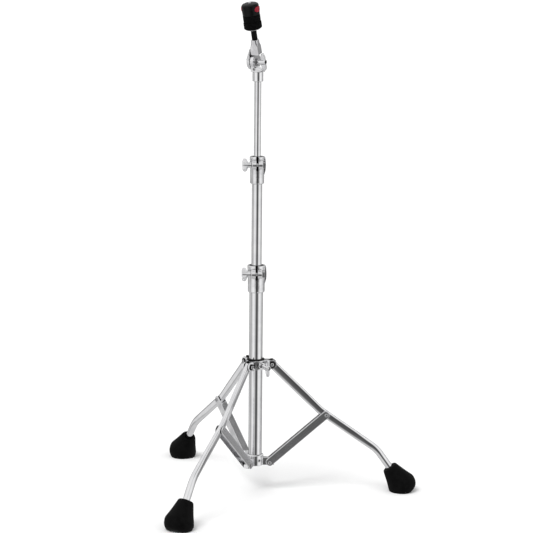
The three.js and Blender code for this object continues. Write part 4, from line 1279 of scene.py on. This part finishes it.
def tilter_arm():
    outer = ARM_FACE - DISC
    below = -DISC_R - OVERRUN
    flank = [(ARM_FACE, ARM_FLANK), (ARM_FACE, below), (outer, below), (outer, DISC_R * 0.55)]
    fan = [
        (NECK_R, ARM_LENGTH), (-NECK_R, ARM_LENGTH), (-SHOULDER_R, ARM_CHEST), (-HIP_R, ARM_HIP),
    ]
    fan += arc(0, 0, DISC_R, 180 - ARM_SPREAD, 360 + ARM_SPREAD, 64)
    fan += [(HIP_R, ARM_HIP), (SHOULDER_R, ARM_CHEST)]
    neck_front = rounded([
        (NECK_R, ARM_LENGTH), (SHOULDER_R, DISC_R), (ARM_FACE, DISC_R), (-FLANK_R, ARM_FLANK),
        (-NECK_R, ARM_COLLAR), (-NECK_R, ARM_LENGTH),
    ], 1.5)
    neck_side = [
        (NECK_R, ARM_LENGTH), (-NECK_R, ARM_LENGTH), (-SHOULDER_R, DISC_R), (SHOULDER_R, DISC_R),
    ]
    disc = eased(crossed(flank, fan), 1.4, segments=4)
    barrel = turned([(0, DISC_R)] + ARM_BARREL + [(0, ARM_LENGTH)], soft=1.5)
    neck = meet(crossed(neck_front, neck_side), barrel)
    seat_foot = ARM_LENGTH - ROD_SEAT - GAP
    tools = [
        drill(DISC_R, ARM_FACE, SHOULDER_R + OVERRUN, ALONG_X, play=SHOULDER_GAP, sides=ROUND),
        drill(BOLT_R, outer - OVERRUN, OVERRUN, ALONG_X),
        drill(ROD_R, seat_foot, ARM_LENGTH + OVERRUN),
        tooth_cutter(ARM_FACE, -1),
    ]
    shape = eased(cut(join(disc, neck), *tools), FINE_EDGE)
    wide = 3 * DISC_R
    return cut(shape, block((ARM_FACE + FACE_GAP, -wide, -wide), (wide, wide, FACE_TOP)))


def tilter_bolt():
    seat = ARM_FACE - DISC - GAP
    half = TILTER_HEAD / 2
    head = block((-half, -half, -TILTER_HEAD_HEIGHT), (half, half, 0), soft=0.8)
    plain = rod(BOLT_R, seat - TILTER_HEAD_HEIGHT / 2, TILTER_NUT_FOOT)
    thread_end = TILTER_NUT_FOOT + BOSS_LENGTH - WING_THICKNESS
    thread = threaded(BOLT_R, TILTER_NUT_FOOT - THREAD_LAP, thread_end)
    return join(put(head, move(seat) @ ALONG_X), put(plain, ALONG_X), put(thread, ALONG_X))


def tilter_washer():
    foot, top = TILTER_WASHER_FOOT, TILTER_WASHER_FOOT + TILTER_WASHER
    ring = pipe(TILTER_WASHER_R, BOLT_R + GAP, foot, top, soft=0.3, sides=SMALL_ROUND)
    return put(ring, ALONG_X)


finished(tilter_bracket(), "tilter_bracket", TILTER, CAST_CHROME)
finished(bracket_screw(), "bracket_screw", TILTER, STEEL)
finished(tilter_arm(), "tilter_arm", HEAD, CAST_CHROME)
finished(tilter_bolt(), "tilter_bolt", HEAD, STEEL)
finished(tilter_washer(), "tilter_washer", HEAD, STEEL)
finished(put(wing(), move(TILTER_NUT_FOOT)), "tilter_wing_nut", HEAD, CAST_CHROME)


# Head

SLEEVE_FOOT = ARM_LENGTH + GAP
SLEEVE_TOP = SLEEVE_FOOT + SLEEVE_SHOULDER
SEAT_WASHER_FOOT = SLEEVE_TOP + GAP
SEAT_WASHER_TOP = SEAT_WASHER_FOOT + SEAT_WASHER
FELT_FOOT = SEAT_WASHER_TOP + GAP
UPPER_FELT_FOOT = FELT_FOOT + FELT + GAP
CAP_FOOT = UPPER_FELT_FOOT + FELT + GAP
CAP_TOP = CAP_FOOT + CAP_HEIGHT
ROD_TOP = CAP_TOP + ROD_PROUD
BUTTON_LEVEL = CAP_FOOT + BUTTON_MID


def cymbal_rod():
    foot = ARM_LENGTH - ROD_SEAT
    return turned([
        (0, foot), (ROD_R, foot), (ROD_R, ROD_TOP - ROD_TIP), (ROD_TIP_R, ROD_TOP), (0, ROD_TOP),
    ], soft=0.7, sides=SMALL_ROUND)


def rod_sleeve():
    top = CAP_FOOT - GAP
    inner = ROD_R + GAP
    return turned([
        (inner, SLEEVE_FOOT), (SLEEVE_R, SLEEVE_FOOT), (SLEEVE_R, SLEEVE_TOP),
        (SPIGOT_R, SLEEVE_TOP), (SPIGOT_R, top), (inner, top),
    ], soft=0.4, sides=SMALL_ROUND)


def seat_washer():
    return pipe(SEAT_WASHER_R, SPIGOT_R + GAP, SEAT_WASHER_FOOT, SEAT_WASHER_TOP, soft=0.4)


def tufts(point, seed):
    """Where the felt stands up, from -1 to 1: broad clumps with finer ones on them."""
    broad = noise.noise(point * 0.9 + Vector((seed, 0, 0)))
    return max(-1.0, min(1.0, broad + 0.6 * noise.noise(point * 2.3)))


def felt_ring(radius, foot, seed):
    """A pressed felt ring whose surface stands up in small tufts, never past its own size."""
    top = foot + FELT
    inner = SPIGOT_R + GAP
    rim = radius - FELT_CROWN
    rise = FELT - 2 * FELT_CROWN
    face = [(inner + (rim - inner) * k / FELT_RINGS, foot) for k in range(FELT_RINGS)]
    side = [(radius, foot + FELT_CROWN + rise * k / FELT_ROWS) for k in range(FELT_ROWS + 1)]
    lid = [(r, top) for r, _ in reversed(face)]
    ring = turned(face + [(rim, foot)] + side + [(rim, top)] + lid, sides=FINE_ROUND)
    for vertex in ring.data.vertices:
        point = vertex.co
        out = Vector((point.x, point.y, 0)).normalized()
        from_bore = Vector((point.x, point.y)).length - inner
        dip = TUFT * min(1.0, max(0.0, from_bore / TUFT_EASE)) * (0.5 - 0.5 * tufts(point, seed))
        from_middle = point.z - (foot + top) / 2
        up = math.copysign(1, from_middle)
        flat = 1.0 if abs(from_middle) > FELT / 2 - TUFT_RIM else 0.0
        vertex.co = point - out * dip * (1 - 0.5 * flat) - Vector((0, 0, up * dip * flat * 0.5))
    return ring


def button_outline(margin):
    """A long round, wider round the cap than it is high, in XY before it is turned along X."""
    radius = BUTTON_HEIGHT / 2 + margin
    straight = (BUTTON_WIDTH - BUTTON_HEIGHT) / 2
    return arc(0, straight, radius, 0, 180, 32) + arc(0, -straight, radius, 180, 360, 32)


def release_cap():
    dome = CAP_TOP - CAP_DOME
    inner = CAP_R - CAP_WALL
    edge = CAP_WALL / 4
    rod_hole = ROD_R + GAP
    profile = [(inner, CAP_FOOT), (CAP_R - edge, CAP_FOOT), (CAP_R, CAP_FOOT + edge)]
    profile += [(CAP_R * out, dome + CAP_DOME * up) for out, up in CAP_DOME_OUTLINE]
    profile += [(rod_hole, CAP_TOP), (rod_hole, CAP_TOP - CAP_WALL), (inner, dome)]
    windows = slab(button_outline(GAP), 2 * (CAP_R + OVERRUN), soft=0)
    windows = put(windows, move(z=BUTTON_LEVEL) @ ALONG_X)
    return eased(cut(turned(profile, soft=2.2), windows), 0.3)


def release_plate():
    return pipe(CAP_R - CAP_WALL - GAP, SPIGOT_R, CAP_FOOT, CAP_FOOT + PLATE, soft=0.3)


def release_button(level):
    """A button along X with its slider plate, above (1) or below (-1) the other one's."""
    face = CAP_R + BUTTON_PROUD
    foot = face - BUTTON_HEAD
    length = BUTTON_HEAD + OVERRUN
    bar = slab(button_outline(0), length, soft=0)
    bar = put(bar, move(foot + length / 2, 0, BUTTON_LEVEL) @ ALONG_X)
    head = meet(bar, rod(face, CAP_FOOT, CAP_TOP, soft=0, sides=FINE_ROUND))
    clear = ROD_R + GAP
    rim = clear + SLIDER_RIM
    low = BUTTON_LEVEL + (GAP / 2 if level > 0 else -GAP / 2 - SLIDER_HEIGHT)
    high = low + SLIDER_HEIGHT
    half = SLIDER_WIDTH / 2
    plate = block((-rim, -half, low), (foot + GAP, half, high))
    hole = block((-clear, -clear, low - OVERRUN), (clear + BUTTON_TRAVEL, clear, high + OVERRUN))
    return cut(join(eased(head, 0.5, segments=3), plate), hole)


finished(cymbal_rod(), "cymbal_rod", HEAD, STEEL)
finished(rod_sleeve(), "rod_sleeve", HEAD, NYLON)
finished(seat_washer(), "seat_washer", HEAD, STEEL)
finished(felt_ring(FELT_LOWER_R, FELT_FOOT, 3.0), "lower_felt", HEAD, FELT_FINISH, sharp=180.0)
finished(
    felt_ring(FELT_UPPER_R, UPPER_FELT_FOOT, 17.0), "upper_felt", HEAD, FELT_FINISH, sharp=180.0,
)
finished(release_cap(), "release_cap", HEAD, PLASTIC)
finished(release_plate(), "release_plate", HEAD, PLASTIC)
finished(release_button(1), "release_button_1", HEAD, RED)
finished(put(release_button(-1), turn("Z", 180)), "release_button_2", HEAD, RED)


# Floor, light and camera

def pale_floor():
    shape = bmesh.new()
    bmesh.ops.create_grid(shape, x_segments=1, y_segments=1, size=FLOOR_HALF)
    floor = solid(shape)
    floor.name = "studio_floor"
    finish, shader = finish_of("floor_paint", Roughness=0.9, Specular_IOR_Level=0.0)
    paint = finish.mix(finish.noise(3.0), grey(0.90), grey(0.915))
    finish.feed(shader.inputs["Base Color"], paint)
    floor.data.materials.append(finish.owner)
    floor.visible_glossy = False


def studio_world():
    """Soft light from all round, which metal sees as softboxes and gaps and the camera as white."""
    world = bpy.data.worlds.new("studio")
    bpy.context.scene.world = world
    finish = Finish(world)
    background = finish.tree.nodes["Background"]
    way = finish.node("ShaderNodeTexCoord", output="Generated")
    side = finish.node("ShaderNodeSeparateXYZ", None, [way])
    front, up = side.beside("Y"), side.beside("Z")
    azimuth = finish.node("ShaderNodeMath", {"operation": "ARCTAN2"}, (side, front * -1.0))
    share = azimuth * (0.5 / math.pi) + 0.5
    stops = [((angle + 180) / 360, grey(value)) for angle, value in STUDIO_BANDS]
    around = finish.node("ShaderNodeValToRGB", {"stops": stops}, {"Fac": share})
    gap_across = finish.spread(side, 0.0, 1.0, start=0.10, end=0.35)
    gap_up = finish.spread(up, 0.0, 1.0, start=0.74, end=0.86)
    overhead = finish.mix(gap_across * gap_up, grey(OVERHEAD_LIGHT), grey(OVERHEAD_GAP))
    rise = finish.spread(up, 0.0, OVERHEAD_SHARE, start=0.02, end=0.50)
    sky = finish.mix(rise, around, overhead)
    ground = finish.spread(up, 1.0, 0.0, start=-0.82, end=-0.36)
    light = finish.mix(ground, sky, grey(GROUND_LIGHT))
    camera_ray = finish.node("ShaderNodeLightPath", output="Is Camera Ray")
    finish.feed(background.inputs["Color"], finish.mix(camera_ray, light, grey(1.0)))
    background.inputs["Strength"].default_value = 1.0


def soft_sun(name, strength, spread, azimuth, height):
    """A broad lamp far off: azimuth 0 is the camera's side, positive to its right."""
    light = bpy.data.lights.new(name, "SUN")
    light.energy = strength
    light.angle = math.radians(spread)
    lamp = bpy.data.objects.new(name, light)
    lamp.rotation_euler = Euler((math.radians(90 - height), 0, math.radians(azimuth)))
    lamp.visible_glossy = False
    bpy.context.scene.collection.objects.link(lamp)


def camera():
    data = bpy.data.cameras.new("camera")
    data.lens = CAMERA_LENS
    data.sensor_width = SENSOR
    data.clip_end = 100
    eye = bpy.data.objects.new("camera", data)
    look = turn("Z", CAMERA_YAW) @ turn("X", 90 + CAMERA_PITCH) @ turn("Z", CAMERA_ROLL)
    eye.matrix_world = Matrix.Translation(CAMERA_PLACE) @ look
    bpy.context.scene.collection.objects.link(eye)
    bpy.context.scene.camera = eye


pale_floor()
studio_world()
soft_sun("key", strength=1.5, spread=30, azimuth=-35, height=55)
soft_sun("fill", strength=0.5, spread=50, azimuth=50, height=40)
camera()
bpy.context.scene.view_settings.view_transform = "Standard"
